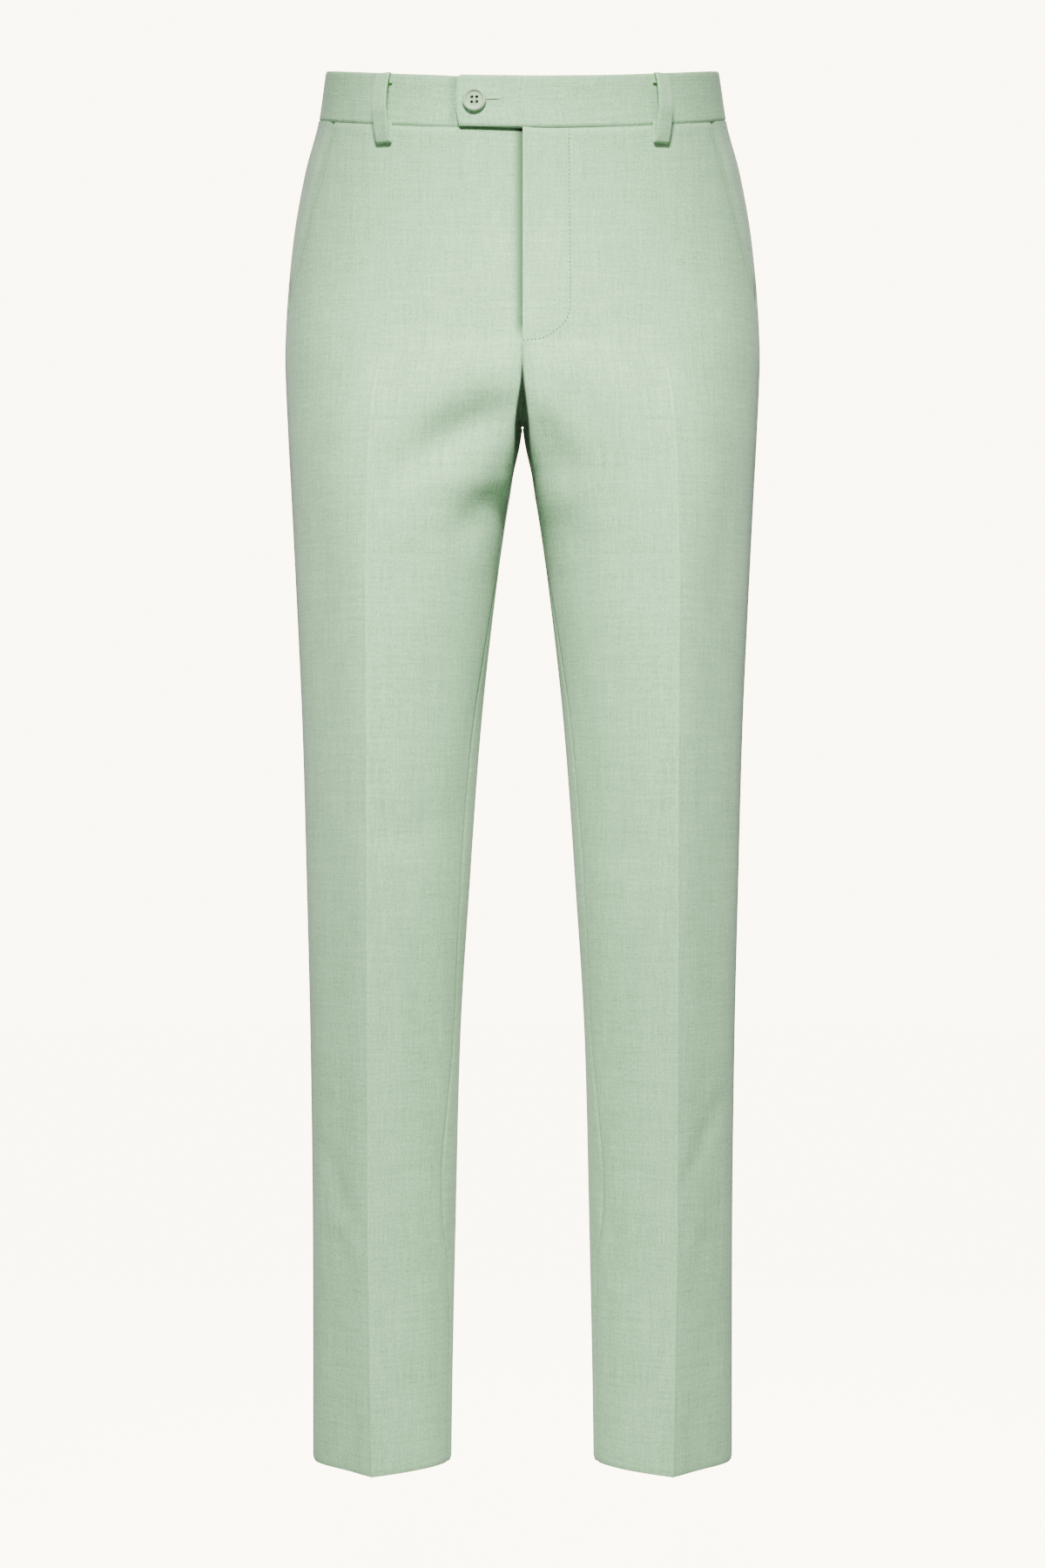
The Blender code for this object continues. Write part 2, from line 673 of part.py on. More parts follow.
def belt_loop(half, name, s):
    """A strip that stands off the band, from its top edge to just below its seam."""
    top, out = cloth(half, np.array([s]), np.array([BAND_TOP]))
    flat = np.array([out[0][0], out[0][1], 0])
    flat /= np.linalg.norm(flat)
    low, _ = cloth(half, np.array([s]), np.array([BAND_SEAM]))
    down = (low[0] - top[0]) / abs(low[0][2] - top[0][2])
    across = np.cross(flat, [0, 0, 1])
    path = np.array([top[0] + flat * (p + 0.25) - down * q for p, q in LOOP_PATH])
    along = np.gradient(path, axis=0)
    side = np.cross(along, across)
    side /= np.linalg.norm(side, axis=-1, keepdims=True)
    edges = np.array([-1, -0.34, 0.34, 1]) * LOOP_WIDTH / 2
    grid = path[:, None, :] + edges[None, :, None] * across
    # The ends follow the band's roundness, so that they lie on it all across.
    curve = np.array([bow_of_band(half, s, e) for e in edges])
    grid = grid - curve[None, :, None] * flat
    outer = grid + side[:, None, :] * LOOP_CLOTH / 2
    inner = grid - side[:, None, :] * LOOP_CLOTH / 2
    return wall(name, outer, inner, material("sage_cloth", SAGE))


def bow_of_band(half, s, across):
    """How far the band curves back at a distance to one side of place s."""
    level = (BAND_TOP + BAND_SEAM) / 2
    here, out = cloth(half, np.array([s]), np.array([level]))
    flat = np.array([out[0][0], out[0][1]])
    flat /= np.linalg.norm(flat)
    side = shift_along(s, level, -abs(across))
    there, _ = cloth(half, np.array([side]), np.array([level]))
    return max(0.0, float((here[0][:2] - there[0][:2]) @ flat))


BUTTON_PROFILE = (
    (0.0, 2.0),
    (5.6, 2.0),
    (6.3, 2.5),
    (7.2, 3.1),
    (8.1, 3.0),
    (8.8, 2.3),
    (9.0, 1.5),
    (8.3, 0.6),
    (6.0, 0.0),
    (0.0, 0.0),
)


def button():
    """A turned disc with a raised rim, cut by four holes."""
    level = (BAND_TOP + BAND_SEAM) / 2
    s = place_of_x(BUTTON_X, level)
    centre, out = cloth(1, np.array([s]), np.array([level]), TAB_OVER + PLY_GAP)
    steps = 32
    points, faces = [(0, 0, BUTTON_PROFILE[0][1])], []
    rings = BUTTON_PROFILE[1:-1]
    for radius, up in rings:
        for k in range(steps):
            turn = 2 * math.pi * k / steps
            points.append((radius * math.cos(turn), radius * math.sin(turn), up))
    points.append((0, 0, BUTTON_PROFILE[-1][1]))
    last = len(points) - 1
    for k in range(steps):
        n = (k + 1) % steps
        faces.append((0, 1 + k, 1 + n))
        for r in range(len(rings) - 1):
            a = 1 + r * steps
            faces.append((a + k, a + steps + k, a + steps + n, a + n))
        a = 1 + (len(rings) - 1) * steps
        faces.append((a + k, last, a + n))
    made = make_object("button", points, faces, material("button_resin", BUTTON_GREEN, 0.35))
    cutters = []
    for n in range(4):
        x = BUTTON_HOLE_OFFSET * (1 if n in (0, 1) else -1)
        y = BUTTON_HOLE_OFFSET * (1 if n in (0, 2) else -1)
        bpy.ops.mesh.primitive_cylinder_add(
            vertices=12, radius=BUTTON_HOLE * MM, depth=8 * MM, location=(x * MM, y * MM, MM)
        )
        cutter = bpy.context.object
        cutter.name = f"button_hole_cutter_{n}"
        cutter.hide_render = True
        cutter.display_type = "WIRE"
        cutters.append(cutter)
        cut = made.modifiers.new(f"hole_{n}", "BOOLEAN")
        cut.operation = "DIFFERENCE"
        cut.solver = "EXACT"
        cut.object = cutter
    holder = bpy.data.objects.new("button_place", None)
    bpy.context.scene.collection.objects.link(holder)
    facing = out[0]
    holder.rotation_mode = "QUATERNION"
    upright = np.array([0.0, 0.0, 1.0])
    right = np.cross(upright, facing)
    right /= np.linalg.norm(right)
    upward = np.cross(facing, right)
    axes = np.stack([right, upward, facing, centre[0] * MM], -1)
    holder.matrix_world = Matrix([*axes.tolist(), (0, 0, 0, 1)])
    for child in [made, *cutters]:
        child.parent = holder
    return made


def main():
    for old in list(bpy.data.objects):
        bpy.data.objects.remove(old, do_unlink=True)
    for half, side in ((1, "left"), (-1, "right")):
        front_panel(half, f"front_{side}")
        back_panel(half, f"back_{side}")
        pocket_facing(half, f"pocket_facing_{side}")
        waistband(half, f"waistband_{side}")
        belt_loop(half, f"belt_loop_front_{side}", place_of_x(103.5, 0))
        belt_loop(half, f"belt_loop_side_{side}", 2.72)
    belt_loop(1, "belt_loop_back", 4.0)
    top = BAND_SEAM - SEAM_GAP / 2
    sage = material("sage_cloth", SAGE)
    tape = material("zip_tape", SAGE_FACING)
    fly_strip("fly_zip", ZIP_SPAN, top, SHIELD_END + 6, FLY_UNDER, CLOTH, tape)
    behind = FLY_UNDER + CLOTH + PLY_GAP
    fly_strip("fly_shield", SHIELD_SPAN, top, SHIELD_END, behind, CLOTH, sage)
    button()


main()
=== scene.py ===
"""Suit trousers, filled out as on a wearer: the fine cloth over the solid model.

The sections, folds and sizes below, in mm, are those of the solid model, but for
the front groove from the fly's foot to the fork, which is drawn closer and
shallower (flat_front, FRONT_TURN, FRONT_BEND), and the lower ends of the belt
loops. Each piece is a thin shell on its solid's form, with the small folds, the
seams' rolled edges, the pressed creases and the sewing added.
"""

import math

import bmesh
import bpy
import numpy as np
from mathutils import Matrix, Vector
from mathutils.bvhtree import BVHTree


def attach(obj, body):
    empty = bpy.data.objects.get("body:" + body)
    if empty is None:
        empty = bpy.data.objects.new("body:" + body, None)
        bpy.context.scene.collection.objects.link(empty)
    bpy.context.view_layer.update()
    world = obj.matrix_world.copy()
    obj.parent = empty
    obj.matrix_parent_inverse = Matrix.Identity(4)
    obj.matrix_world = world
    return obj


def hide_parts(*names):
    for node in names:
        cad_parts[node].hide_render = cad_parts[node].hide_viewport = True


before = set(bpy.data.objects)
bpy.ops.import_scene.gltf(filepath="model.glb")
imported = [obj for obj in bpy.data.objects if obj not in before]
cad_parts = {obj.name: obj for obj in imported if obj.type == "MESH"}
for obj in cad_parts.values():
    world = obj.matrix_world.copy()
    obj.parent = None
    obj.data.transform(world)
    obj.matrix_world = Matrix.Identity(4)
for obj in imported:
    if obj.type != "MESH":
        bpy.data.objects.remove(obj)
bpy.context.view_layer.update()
MM = 0.001

# ---- driving sizes -------------------------------------------------------
CLOTH = 1.5  # wall of a panel
BAND_CLOTH = 2.5  # wall of the waistband, two layers and an interlining
SEAM_GAP = 0.3  # between pieces that are sewn together
PLY_GAP = 0.4  # between plies that lie on each other
HEM_DEPTH = 38.0  # turned-up allowance inside the hem
HEM_WALL = 2.4  # wall where the hem is doubled

BAND_TOP = 19.0  # level of the waistband's top edge at the sides
BAND_SEAM = -19.5  # level of the seam under the waistband
HEM = -1065.0
WAIST_TILT = 0.1925  # the waist slopes down to the front ...
WAIST_DIP = -0.00057  # ... and dips a little more at front and back
TILT_ENDS = -190.0  # below this level the sections are horizontal

FLY_BOTTOM = -205.0  # where the centre-front seam begins to curve under
SEAT_TURN = -150.0  # where the centre-back seam begins to curve under
CROTCH = -260.5
CROTCH_Y = 15.0

FLY_OVER = 0.9  # how far the upper front stands proud at the fly
FLY_UNDER = 1.0  # how far the lower front is set back there
FLY_UNDERLAP = 6.0  # the lower front runs on this far past the centre
FLY_OPEN = -180.0  # the underlap starts to close here ...
FLY_CLOSED = -192.0  # ... and is gone here

TAB_END = 49.5  # reach of the button tab past the centre
TAB_BOW = 2.6  # how much its corners fall back
TAB_OVER = 1.8
TAB_UNDER = 1.2
BAND_UNDERLAP = 12.0

POCKET_TOP_X = 145.0  # pocket mouth, at the waist seam ...
POCKET_END_X = 184.0  # ... and where it meets the side seam
POCKET_END = -174.0
FACING_UNDERLAP = 14.0
FACING_GAP = 0.7  # behind the front, which is faceted where it rounds the hip
FACING_LIP = 1.5  # the facing stays this far back past the mouth ...
FACING_RISE = 12.0  # ... and over this width it rises to the side seam

LOOP_WIDTH = 12.5
LOOP_CLOTH = 1.5
BUTTON_X = -35.3
BUTTON_HOLE = 1.1
BUTTON_HOLE_OFFSET = 1.85

# ---- sections ------------------------------------------------------------
# One row for each level, in mm and degrees. crease: the front crease's place,
# slope and break; seat: the same for the back crease. inside_x is the inseam side
# of the leg. It counts below the crotch only: the row above gives it its slope.
COLUMNS = (
    "level side_x side_y inside_x inside_y flat_front flat_back "
    "crease_x crease_y crease_slope crease_break "
    "seat_x seat_y seat_slope seat_break"
).split()
SECTIONS = (
    (19, 153.6, 0, 0, 15, -104, 106, 105.0, -75.9, 32, 0, 90, 86, 26.5, 0),
    (-20, 159.4, 1, 0, 15, -105, 111, 105.0, -79.0, 30, 0, 90, 92, 25.5, 0),
    (-61, 170.3, 3, 0, 15, -106, 118, 105.0, -83.5, 26, 0, 88, 101, 22, 0),
    (-115, 179.8, 7, 0, 15, -107, 126, 105.0, -87.5, 23, 0, 84, 115, 16, 0),
    (-170, 184.9, 10, 0, 15, -108, 128, 105.5, -91.0, 20, 0, 80, 126, 9, 0),
    (-205, 186.3, 12, 0, 15, -108, 121, 106.5, -94.0, 17, 1.5, 80, 128.5, 6, 0),
    (-238, 185.2, 12, -6.5, 15, -104, 107, 111.5, -97.0, 15, 3, 84, 126, 6, 0),
    (-260.5, 184.0, 11, 0, 15, -97, 92, 114.0, -98.5, 14, 5, 90, 121, 7, 2),
    (-272, 183.4, 10, 1.9, 14, -91, 84, 114.8, -98.6, 13.5, 5.5, 92, 118.5, 7.5, 2.5),
    (-306, 181.5, 9, 9.5, 12, -63, 62, 116.3, -98.0, 13, 7, 98, 112, 9, 4),
    (-388, 177.1, 5, 21.1, 8, -14, 32, 118.0, -93.0, 12.5, 10, 108, 100, 10, 7),
    (-497, 172.0, 2, 32.7, 4, 1, 12, 118.0, -84.0, 12, 13, 114, 87, 11, 10),
    (-606, 168.9, 0, 40.5, 2, 2, 2, 118.0, -76.0, 11, 16, 116, 77, 11, 13),
    (-742, 165.8, 1, 48.7, 1, 1, 1, 117.7, -71.0, 9, 20, 117, 72, 9, 16),
    (-879, 164.1, 1, 52.1, 0, 0, 0, 117.2, -69.5, 8, 25, 116.5, 69, 8, 20),
    (-1000, 163.8, 0, 54.6, 0, 0, 0, 115.4, -70.5, 7, 31, 115.4, 67, 7, 23),
    (-1065, 163.8, 0, 55.5, 0, 0, 0, 114.4, -71.0, 6, 36, 114.4, 66, 6, 26),
)
CENTRE_FRONT = ((19, -104), (-20, -105), (-61, -106), (-115, -107), (-205, -108))
CENTRE_BACK = ((19, 106), (-20, 111), (-61, 118), (-115, 126), (-150, 128))
# How far the cloth has turned into the groove at the centre seams, in degrees.
FRONT_TURN = (
    (-205, 0), (-219, 16), (-233, 48), (-246, 72), (-254, 80), (-260.5, 84), (-272, 87),
    (-306, 90),
)
BACK_TURN = (
    (-115, 0), (-150, 3), (-170, 13), (-205, 44), (-238, 74), (-254, 83), (-260.5, 87.3),
    (-272, 89.4), (-306, 90),
)
# The x at which the flat stretch beside the groove ends and the cloth rounds.
FRONT_BEND = (
    (-205, 0), (-219, 1), (-233, 1.3), (-246, 1.6), (-260.5, 2.2), (-272, 3.4),
    (-290, 6.4), (-306, 9.6),
)
BACK_BEND = (
    (-115, 0), (-150, 4), (-170, 7), (-205, 8), (-238, 6.4), (-254, 5.5), (-260.5, 5.3),
    (-272, 5.6), (-290, 7.4), (-306, 9.6),
)
# Where the side seam lies, as s, and where the inseam lies, as y.
SIDE_SEAM = ((19, 2.0), (-61, 1.95), (-174, 1.9), (-500, 1.88), (-1065, 1.88))
INSEAM = (
    (-260.5, 15), (-300, 0), (-340, -12), (-400, -24), (-606, -27), (-720, -22),
    (-835, -32), (-870, -30), (-930, -18), (-1065, -12),
)
# The largest folds: from one point to another on the front (face -1) or the back
# (face 1), sunk by `depth` and running out over `reach` to each side. The columns
# are face, from_x, from_z, to_x, to_z, reach and depth.
FOLDS = (
    (-1, -10, -247, -82, -285, 16, 3.2),
    (-1, 12, -262, 34, -304, 13, 1.6),
    (1, -22, -238, -112, -272, 20, 3.6),
    (1, 24, -242, 106, -280, 19, 3.2),
    (1, -60, -588, -150, -600, 20, 1.8),
    (1, 66, -604, 156, -592, 20, 1.6),
)


def smooth_step(value, start, end):
    """0 at start, 1 at end, and level at both."""
    t = np.clip((np.asarray(value, float) - start) / (end - start), 0, 1)
    return t * t * (3 - 2 * t)


def unit(way):
    return way / np.linalg.norm(way, axis=-1, keepdims=True)


def run_along(points):
    """The distance of each point of a path from its start."""
    return np.concatenate([[0], np.linalg.norm(np.diff(points, axis=0), axis=1).cumsum()])


def at_run(at, run, values):
    """The values of a path's points at distances along it."""
    return np.stack([np.interp(at, run, values[:, k]) for k in range(3)], -1)


def bump_of(distance, reach):
    return np.exp(-((distance / reach) ** 2))


def through(points, at):
    """A smooth curve with no overshoot through (level, value) points, top to bottom."""
    x = -np.array([p[0] for p in points], float)
    y = np.array([p[1] for p in points], float)
    step = np.diff(x)
    rise = np.diff(y) / step
    slope = np.zeros_like(y)
    same = rise[1:] * rise[:-1] > 0
    weight = step[1:] + 2 * step[:-1], 2 * step[1:] + step[:-1]
    with np.errstate(divide="ignore", invalid="ignore"):
        mean = sum(weight) / (weight[0] / rise[:-1] + weight[1] / rise[1:])
    slope[1:-1] = np.where(same, mean, 0)
    slope[0], slope[-1] = rise[0], rise[-1]
    at = np.clip(-np.asarray(at, float), x[0], x[-1])
    i = np.clip(np.searchsorted(x, at, side="right") - 1, 0, len(step) - 1)
    t = (at - x[i]) / step[i]
    a = (1 + 2 * t) * (1 - t) ** 2
    b = t * (1 - t) ** 2
    c = t * t * (3 - 2 * t)
    d = t * t * (t - 1)
    return a * y[i] + b * step[i] * slope[i] + c * y[i + 1] + d * step[i] * slope[i + 1]


def column(name, level):
    k = COLUMNS.index(name)
    return through([(row[0], row[k]) for row in SECTIONS], level)


def under_curve(level, upper, turns_at):
    """y of a centre seam: straight down, then a quarter ellipse to the crotch."""
    drop = np.clip((turns_at - level) / (turns_at - CROTCH), 0, 1)
    y = CROTCH_Y + (upper[-1][1] - CROTCH_Y) * np.sqrt(1 - drop * drop)
    return np.where(level > turns_at, through(upper, level), y)


def arc(start, heading, end, arrival, t):
    """A smooth quarter-like arc between two points with given headings in degrees."""
    a, b = np.radians(heading), np.radians(arrival)
    turn = b - a
    across = end - start
    sine = np.sin(turn)
    from_start = (across[..., 0] * np.sin(b) - across[..., 1] * np.cos(b)) / sine
    from_end = (across[..., 1] * np.cos(a) - across[..., 0] * np.sin(a)) / sine
    share = 4 / 3 * np.tan(turn / 4) / np.tan(turn / 2)
    first = start + (share * from_start)[..., None] * np.stack([np.cos(a), np.sin(a)], -1)
    last = end - (share * from_end)[..., None] * np.stack([np.cos(b), np.sin(b)], -1)
    t = t[..., None]
    return (
        (1 - t) ** 3 * start
        + 3 * (1 - t) ** 2 * t * first
        + 3 * (1 - t) * t * t * last
        + t**3 * end
    )


def flat_end(start, bend_x, flat_y, sign):
    """The end of the flat stretch that leads from a centre seam or inseam into the arc."""
    way_x = np.maximum(bend_x - start[..., 0], 0)
    way_y = sign * np.maximum(sign * (flat_y - start[..., 1]), 0)
    way = np.stack([way_x, way_y], -1)
    return start + way, np.linalg.norm(way, axis=-1)


def section(s, level):
    """(x, y) at place s of the section at a level. s below 0 runs on round the other half."""
    s, level = np.broadcast_arrays(np.asarray(s, float), np.asarray(level, float))
    value = {name: column(name, level) for name in COLUMNS[1:]}
    leg = level < CROTCH
    inside_x = np.where(leg, value["inside_x"], 0)
    front_y = np.where(leg, value["inside_y"], under_curve(level, CENTRE_FRONT, FLY_BOTTOM))
    back_y = np.where(leg, value["inside_y"], under_curve(level, CENTRE_BACK, SEAT_TURN))
    front_turn = through(FRONT_TURN, level)
    back_turn = through(BACK_TURN, level)
    start = np.stack([inside_x, front_y], -1)
    crease = np.stack([value["crease_x"], value["crease_y"]], -1)
    side = np.stack([value["side_x"], value["side_y"]], -1)
    seat = np.stack([value["seat_x"], value["seat_y"]], -1)
    finish = np.stack([inside_x, back_y], -1)
    front_bend, back_bend = through(FRONT_BEND, level), through(BACK_BEND, level)
    front_flat, front_length = flat_end(start, front_bend, value["flat_front"], -1)
    back_flat, back_length = flat_end(finish, back_bend, value["flat_back"], 1)
    front_in = value["crease_slope"] - value["crease_break"]
    front_out = value["crease_slope"] + value["crease_break"]
    back_in = 180 - value["seat_slope"] - value["seat_break"]
    back_out = 180 - value["seat_slope"] + value["seat_break"]
    place = np.where(leg & (s > 4), s - 4, np.abs(s))
    which = np.clip(np.floor(place), 0, 3)
    t = place - which
    front_share = front_length / (front_length + np.linalg.norm(crease - front_flat, axis=-1))
    back_share = back_length / (back_length + np.linalg.norm(seat - back_flat, axis=-1))
    to_flat = np.maximum(t - front_share, 0) / (1 - front_share)
    from_flat = np.minimum(t / (1 - back_share), 1)
    on_front = start + (t / np.maximum(front_share, 1e-6))[..., None] * (front_flat - start)
    beyond = ((t - 1 + back_share) / np.maximum(back_share, 1e-6))[..., None]
    on_back = back_flat + beyond * (finish - back_flat)
    quarters = (
        np.where(
            (t < front_share)[..., None],
            on_front,
            arc(front_flat, -front_turn, crease, front_in, to_flat),
        ),
        arc(crease, front_out, side, np.full_like(t, 90.0), t),
        arc(side, np.full_like(t, 90.0), seat, back_in, t),
        np.where(
            (t > 1 - back_share)[..., None],
            on_back,
            arc(seat, back_out, back_flat, 180 + back_turn, from_flat),
        ),
    )
    point = np.choose(which.astype(int)[..., None], quarters)
    return np.where((s < 0)[..., None], point * [-1, 1], point)


def height(level, y):
    """The real height of a point of a section: near the waist the sections tilt."""
    share = smooth_step(level, TILT_ENDS, BAND_SEAM)
    return level + share * (WAIST_TILT * y + WAIST_DIP * y * y)


def base(s, level):
    xy = section(s, level)
    return np.concatenate([xy, height(level, xy[..., 1])[..., None]], -1)


def matched(s, level, other, here, tangent, speed):
    """The surface point at the other level that lies straight above or below this one.

    Where the section there ends short of it, the point itself is given."""
    place = s
    for _ in range(3):
        found = section(place, other)
        slip = np.sum((found - here) * tangent, -1)
        place = np.clip(place - slip / speed, np.where(level < CROTCH, -9, s.min()), 4.6)
    found = section(place, other)
    slip = np.sum((found - here) * tangent, -1)
    own = base(s, level)
    there = np.concatenate([found, height(other, found[..., 1])[..., None]], -1)
    return np.where((np.abs(slip) < 0.25)[..., None], there, own)


def normal(s, level):
    """The outward direction, the same for both pieces that meet at a seam."""
    ds, dl = 0.012, 1.2
    leg = level < CROTCH
    ahead = np.where(leg, s + ds, np.minimum(s + ds, 4.0))
    behind = np.where(leg & (s < ds), s + 4 - ds, s - ds)
    behind = np.where(~leg & (np.abs(s) < ds), s, behind)
    along = base(ahead, level) - base(behind, level)
    flat = along[..., :2]
    length = np.linalg.norm(flat, axis=-1)
    tangent = flat / length[..., None]
    speed = length / np.maximum(np.where(leg & (s < ds), 2 * ds, ahead - behind), 1e-6)
    here = section(s, level)
    top = np.clip(level + dl, HEM, BAND_TOP)
    bottom = np.clip(level - dl, HEM, BAND_TOP)
    above = matched(s, level, top, here, tangent, speed)
    below = matched(s, level, bottom, here, tangent, speed)
    down = below - above
    lost = np.linalg.norm(down, axis=-1) < 0.2
    down = np.where(lost[..., None], np.array([0, 0, -1.0]), down)
    return unit(np.cross(down, along))


def fold_depth(point, folds=FOLDS, bend=0.0, ends=(-0.25, 0.3, 1.3, 0.6), faces=(8, 45)):
    """How far folds sink the cloth at a point, in mm. bend makes their lines waver.

    ends says where along its length a fold begins and fades, and faces, how far from
    the middle plane between front and back."""
    total = np.zeros(point.shape[:-1])
    for face, from_x, from_z, to_x, to_z, reach, depth in folds:
        start = np.array([from_x, from_z])
        run = np.array([to_x, to_z]) - start
        here = point[..., [0, 2]] - start
        along = here @ run / (run @ run)
        across = (here[..., 0] * run[1] - here[..., 1] * run[0]) / np.linalg.norm(run)
        across = across + bend * reach * np.sin(3.1 * along + from_z)
        faded = smooth_step(along, *ends[:2]) * smooth_step(along, *ends[2:])
        faded = faded * smooth_step(face * point[..., 1], *faces)
        total += depth * bump_of(across, reach) * faded
    return total


def cloth(half, s, level, offset=0.0):
    """Points of the outer face, moved out by offset. half is 1 for the wearer's left."""
    s, level = np.broadcast_arrays(np.asarray(s, float), np.asarray(level, float))
    mirror = np.array([half, 1, 1])
    point = base(s, level) * mirror
    out = normal(s, level) * mirror
    moved = np.asarray(offset) - fold_depth(point)
    return point + moved[..., None] * out, out


def place_of_x(x, level, turn=2.0):
    """s on the front of the section where its x is the one asked for."""
    tries = np.linspace(0, turn, 401)
    found = np.interp(abs(x), section(tries, level)[..., 0], tries)
    return math.copysign(float(found), x)


def place_of_inseam(level):
    """s where the inseam lies, between the inside of the leg and the front crease."""
    tries = np.linspace(0, 1, 401)
    y = section(tries, level)[..., 1]
    return float(np.interp(-through(INSEAM, level), -y, tries))


def shift_along(s, level, distance):
    """s moved along the section by a distance in mm."""
    step = math.copysign(0.02, distance)
    reach = np.linalg.norm(section(s + step, level) - section(s, level), axis=-1)
    return s + distance * abs(step) / reach


def fly_lift(half, x, level):
    """How far a front stands proud or back beside the fly."""
    fade = smooth_step(level, FLY_BOTTOM - 5, FLY_CLOSED)
    if half > 0:
        return FLY_OVER * fade * smooth_step(x, 80, 20)
    return -FLY_UNDER * fade * smooth_step(-x, 30, 4)


def mouth_x(level):
    """x of the pocket mouth, a straight cut from the waist seam to the side seam."""
    down = min(1.0, (level - BAND_SEAM) / (POCKET_END - BAND_SEAM))
    return POCKET_TOP_X + (POCKET_END_X - POCKET_TOP_X) * down


def band_lift(half, x, s):
    """How far a half of the waistband stands proud or back where the two overlap."""
    in_front = s < 1.5
    if half > 0:
        return in_front * TAB_OVER * smooth_step(x, 80, 16)
    return in_front * -TAB_UNDER * smooth_step(-x, 75, 40)


# The path of a belt loop's middle line: distance out from the band, and height
# from the band's top edge. Its ends are turned in and lie on the band.
LOOP_PATH = (
    (1.1, -8.5), (1.1, -4.0), (1.9, -1.6), (3.4, -1.4), (5.0, -3.6), (7.0, -10.0),
    (8.6, -18.0), (9.3, -28.0), (8.3, -34.5), (6.9, -42.0), (5.3, -48.4), (4.2, -51.8),
    (3.4, -53.4), (2.5, -53.9), (1.7, -53.3), (1.3, -51.6), (1.2, -48.4), (1.15, -44.5),
    (1.1, -37.5),
)


def bow_of_band(half, s, across):
    """How far the band curves back at a distance to one side of place s."""
    level = (BAND_TOP + BAND_SEAM) / 2
    here, out = cloth(half, np.array([s]), np.array([level]))
    flat = unit(out[0][:2])
    side = shift_along(s, level, -abs(across))
    there, _ = cloth(half, np.array([side]), np.array([level]))
    return max(0.0, float((here[0][:2] - there[0][:2]) @ flat))


BUTTON_PROFILE = (
    (0.0, 2.0), (5.6, 2.0), (6.3, 2.5), (7.2, 3.1), (8.1, 3.0), (8.8, 2.3), (9.0, 1.5),
    (8.3, 0.6), (6.0, 0.0), (0.0, 0.0),
)


# ---- the looks: sizes ------------------------------------------------------
CAMERA_PLACE = (0.0, -2.5, -0.538)
CAMERA_LENS = 73.42  # mm, with 36 mm on the picture's long side
FLOOR = -1400.0
FLOOR_RADIUS = 9  # m
FLOOR_GLOW = 0.95
FLOOR_PALE = (0.8, 0.78, 0.76)
BACKGROUND = (11.0, 9.5, 7.1)
ROOM_LIGHT = 0.36
ROOM_COLOUR = (0.97, 0.985, 1.0)
LAMP_COLOUR = (1.0, 0.99, 0.97)
BACK_LIGHT = ((0.25, 2.3, 0.5), (0, 0, -0.4), 70, 1.2)  # place, aim, power, size
SPOTS = (  # name, place, aim, power, half angle in degrees
    ("key", (-0.04, -1.4, 1.0), (0, -0.1, -0.43), 575, 15.5),
    ("hem_soft", (-0.05, -2.2, -1.0), (0, 0, -1.12), 215, 9),
)

ROW_STEP = 3.2  # between rows of points of a panel, in mm
NEAR_SEAM = np.array([0, 0.45, 1.1, 2.0, 3.3, 5.0])  # columns beside a seam
NEAR_CREASE = np.array([0, 0.6, 1.4, 2.6])
NEAR_MOUTH = np.array([0, 0.45, 1.1, 2.0, 3.3, 4.4, 5.2, 6.0, 7.0])
NEAR_FLY = np.array([0, 0.7, 1.6, 3.0, 4.6, 5.6, 6.4, 7.2, 8.1, 9.4, 11.4])
SEAM_ROLL = 0.85  # how far a panel's edge rolls in at a seam ...
SEAM_REACH = 1.7  # ... and over what width
WAIST_ROLL = 1.3
WAIST_REACH = 2.6
CREASE_RIDGE = 0.55
CREASE_REACH = 1.3
CREASE_STARTS = (-205.0, -240.0)
FLANK_HOLLOW = 4.5
SIDE_STEPS = 26
WALL_COLUMNS = 12
MOUTH_STITCH = 5.2  # the topstitching, from the pocket mouth
STITCH_IN = 4.6  # a loop's stitches, from its middle line
SIDE_LOOP, BACK_LOOP = 2.72, 4.0  # the other belt loops, as s
FLY_FOLD = 2.6  # how much more the fly's folded edge stands off ...
FLY_DIP = 0.35  # ... and how far the front under it dips beside it
FLY_DIP_REACH = 6.0
LOOP_X = 103.5  # the front belt loops
FLY_SHADE = 0.6  # painted shade: the cloth in the fly's fold, under and beside the tab, and beside the belt loops is this much darker
TAB_LIFT = 1.2
TAB_DIP = 1.3  # the band beside the tab's end
THREAD = 0.28  # radius of the sewing thread
MOUTH_SEWING, LOOP_SEWING, FLY_SEWING = (2.5, 1.7), (2.3, 1.6), (3.0, 1.7)  # pitch, stitch
BAND_MIDDLE = (BAND_TOP + BAND_SEAM) / 2
WIDER_HOLE = 1.12 * BUTTON_HOLE  # the holes' edges are worn round
HOLE_STITCHES = 15  # along each side of the buttonhole
SLIT_STEPS = 24
HOLE_FROM, HOLE_TO, HOLE_WIDE = 8.2, 19.8, 1.25  # from the button's middle
SHARP_FOLD = math.radians(62)  # above this turn a shell's faces meet in an edge
# The fly's stitched row, as x and level, from the waist seam down and round.
FLY_ROW = (
    (34.6, -21.0), (34.9, -60.0), (35.2, -103.5), (35.6, -140.0), (35.9, -176.0),
    (33.6, -188.5), (28.0, -195.6), (18.6, -202.8), (10.4, -205.1), (0.9, -205.9),
)

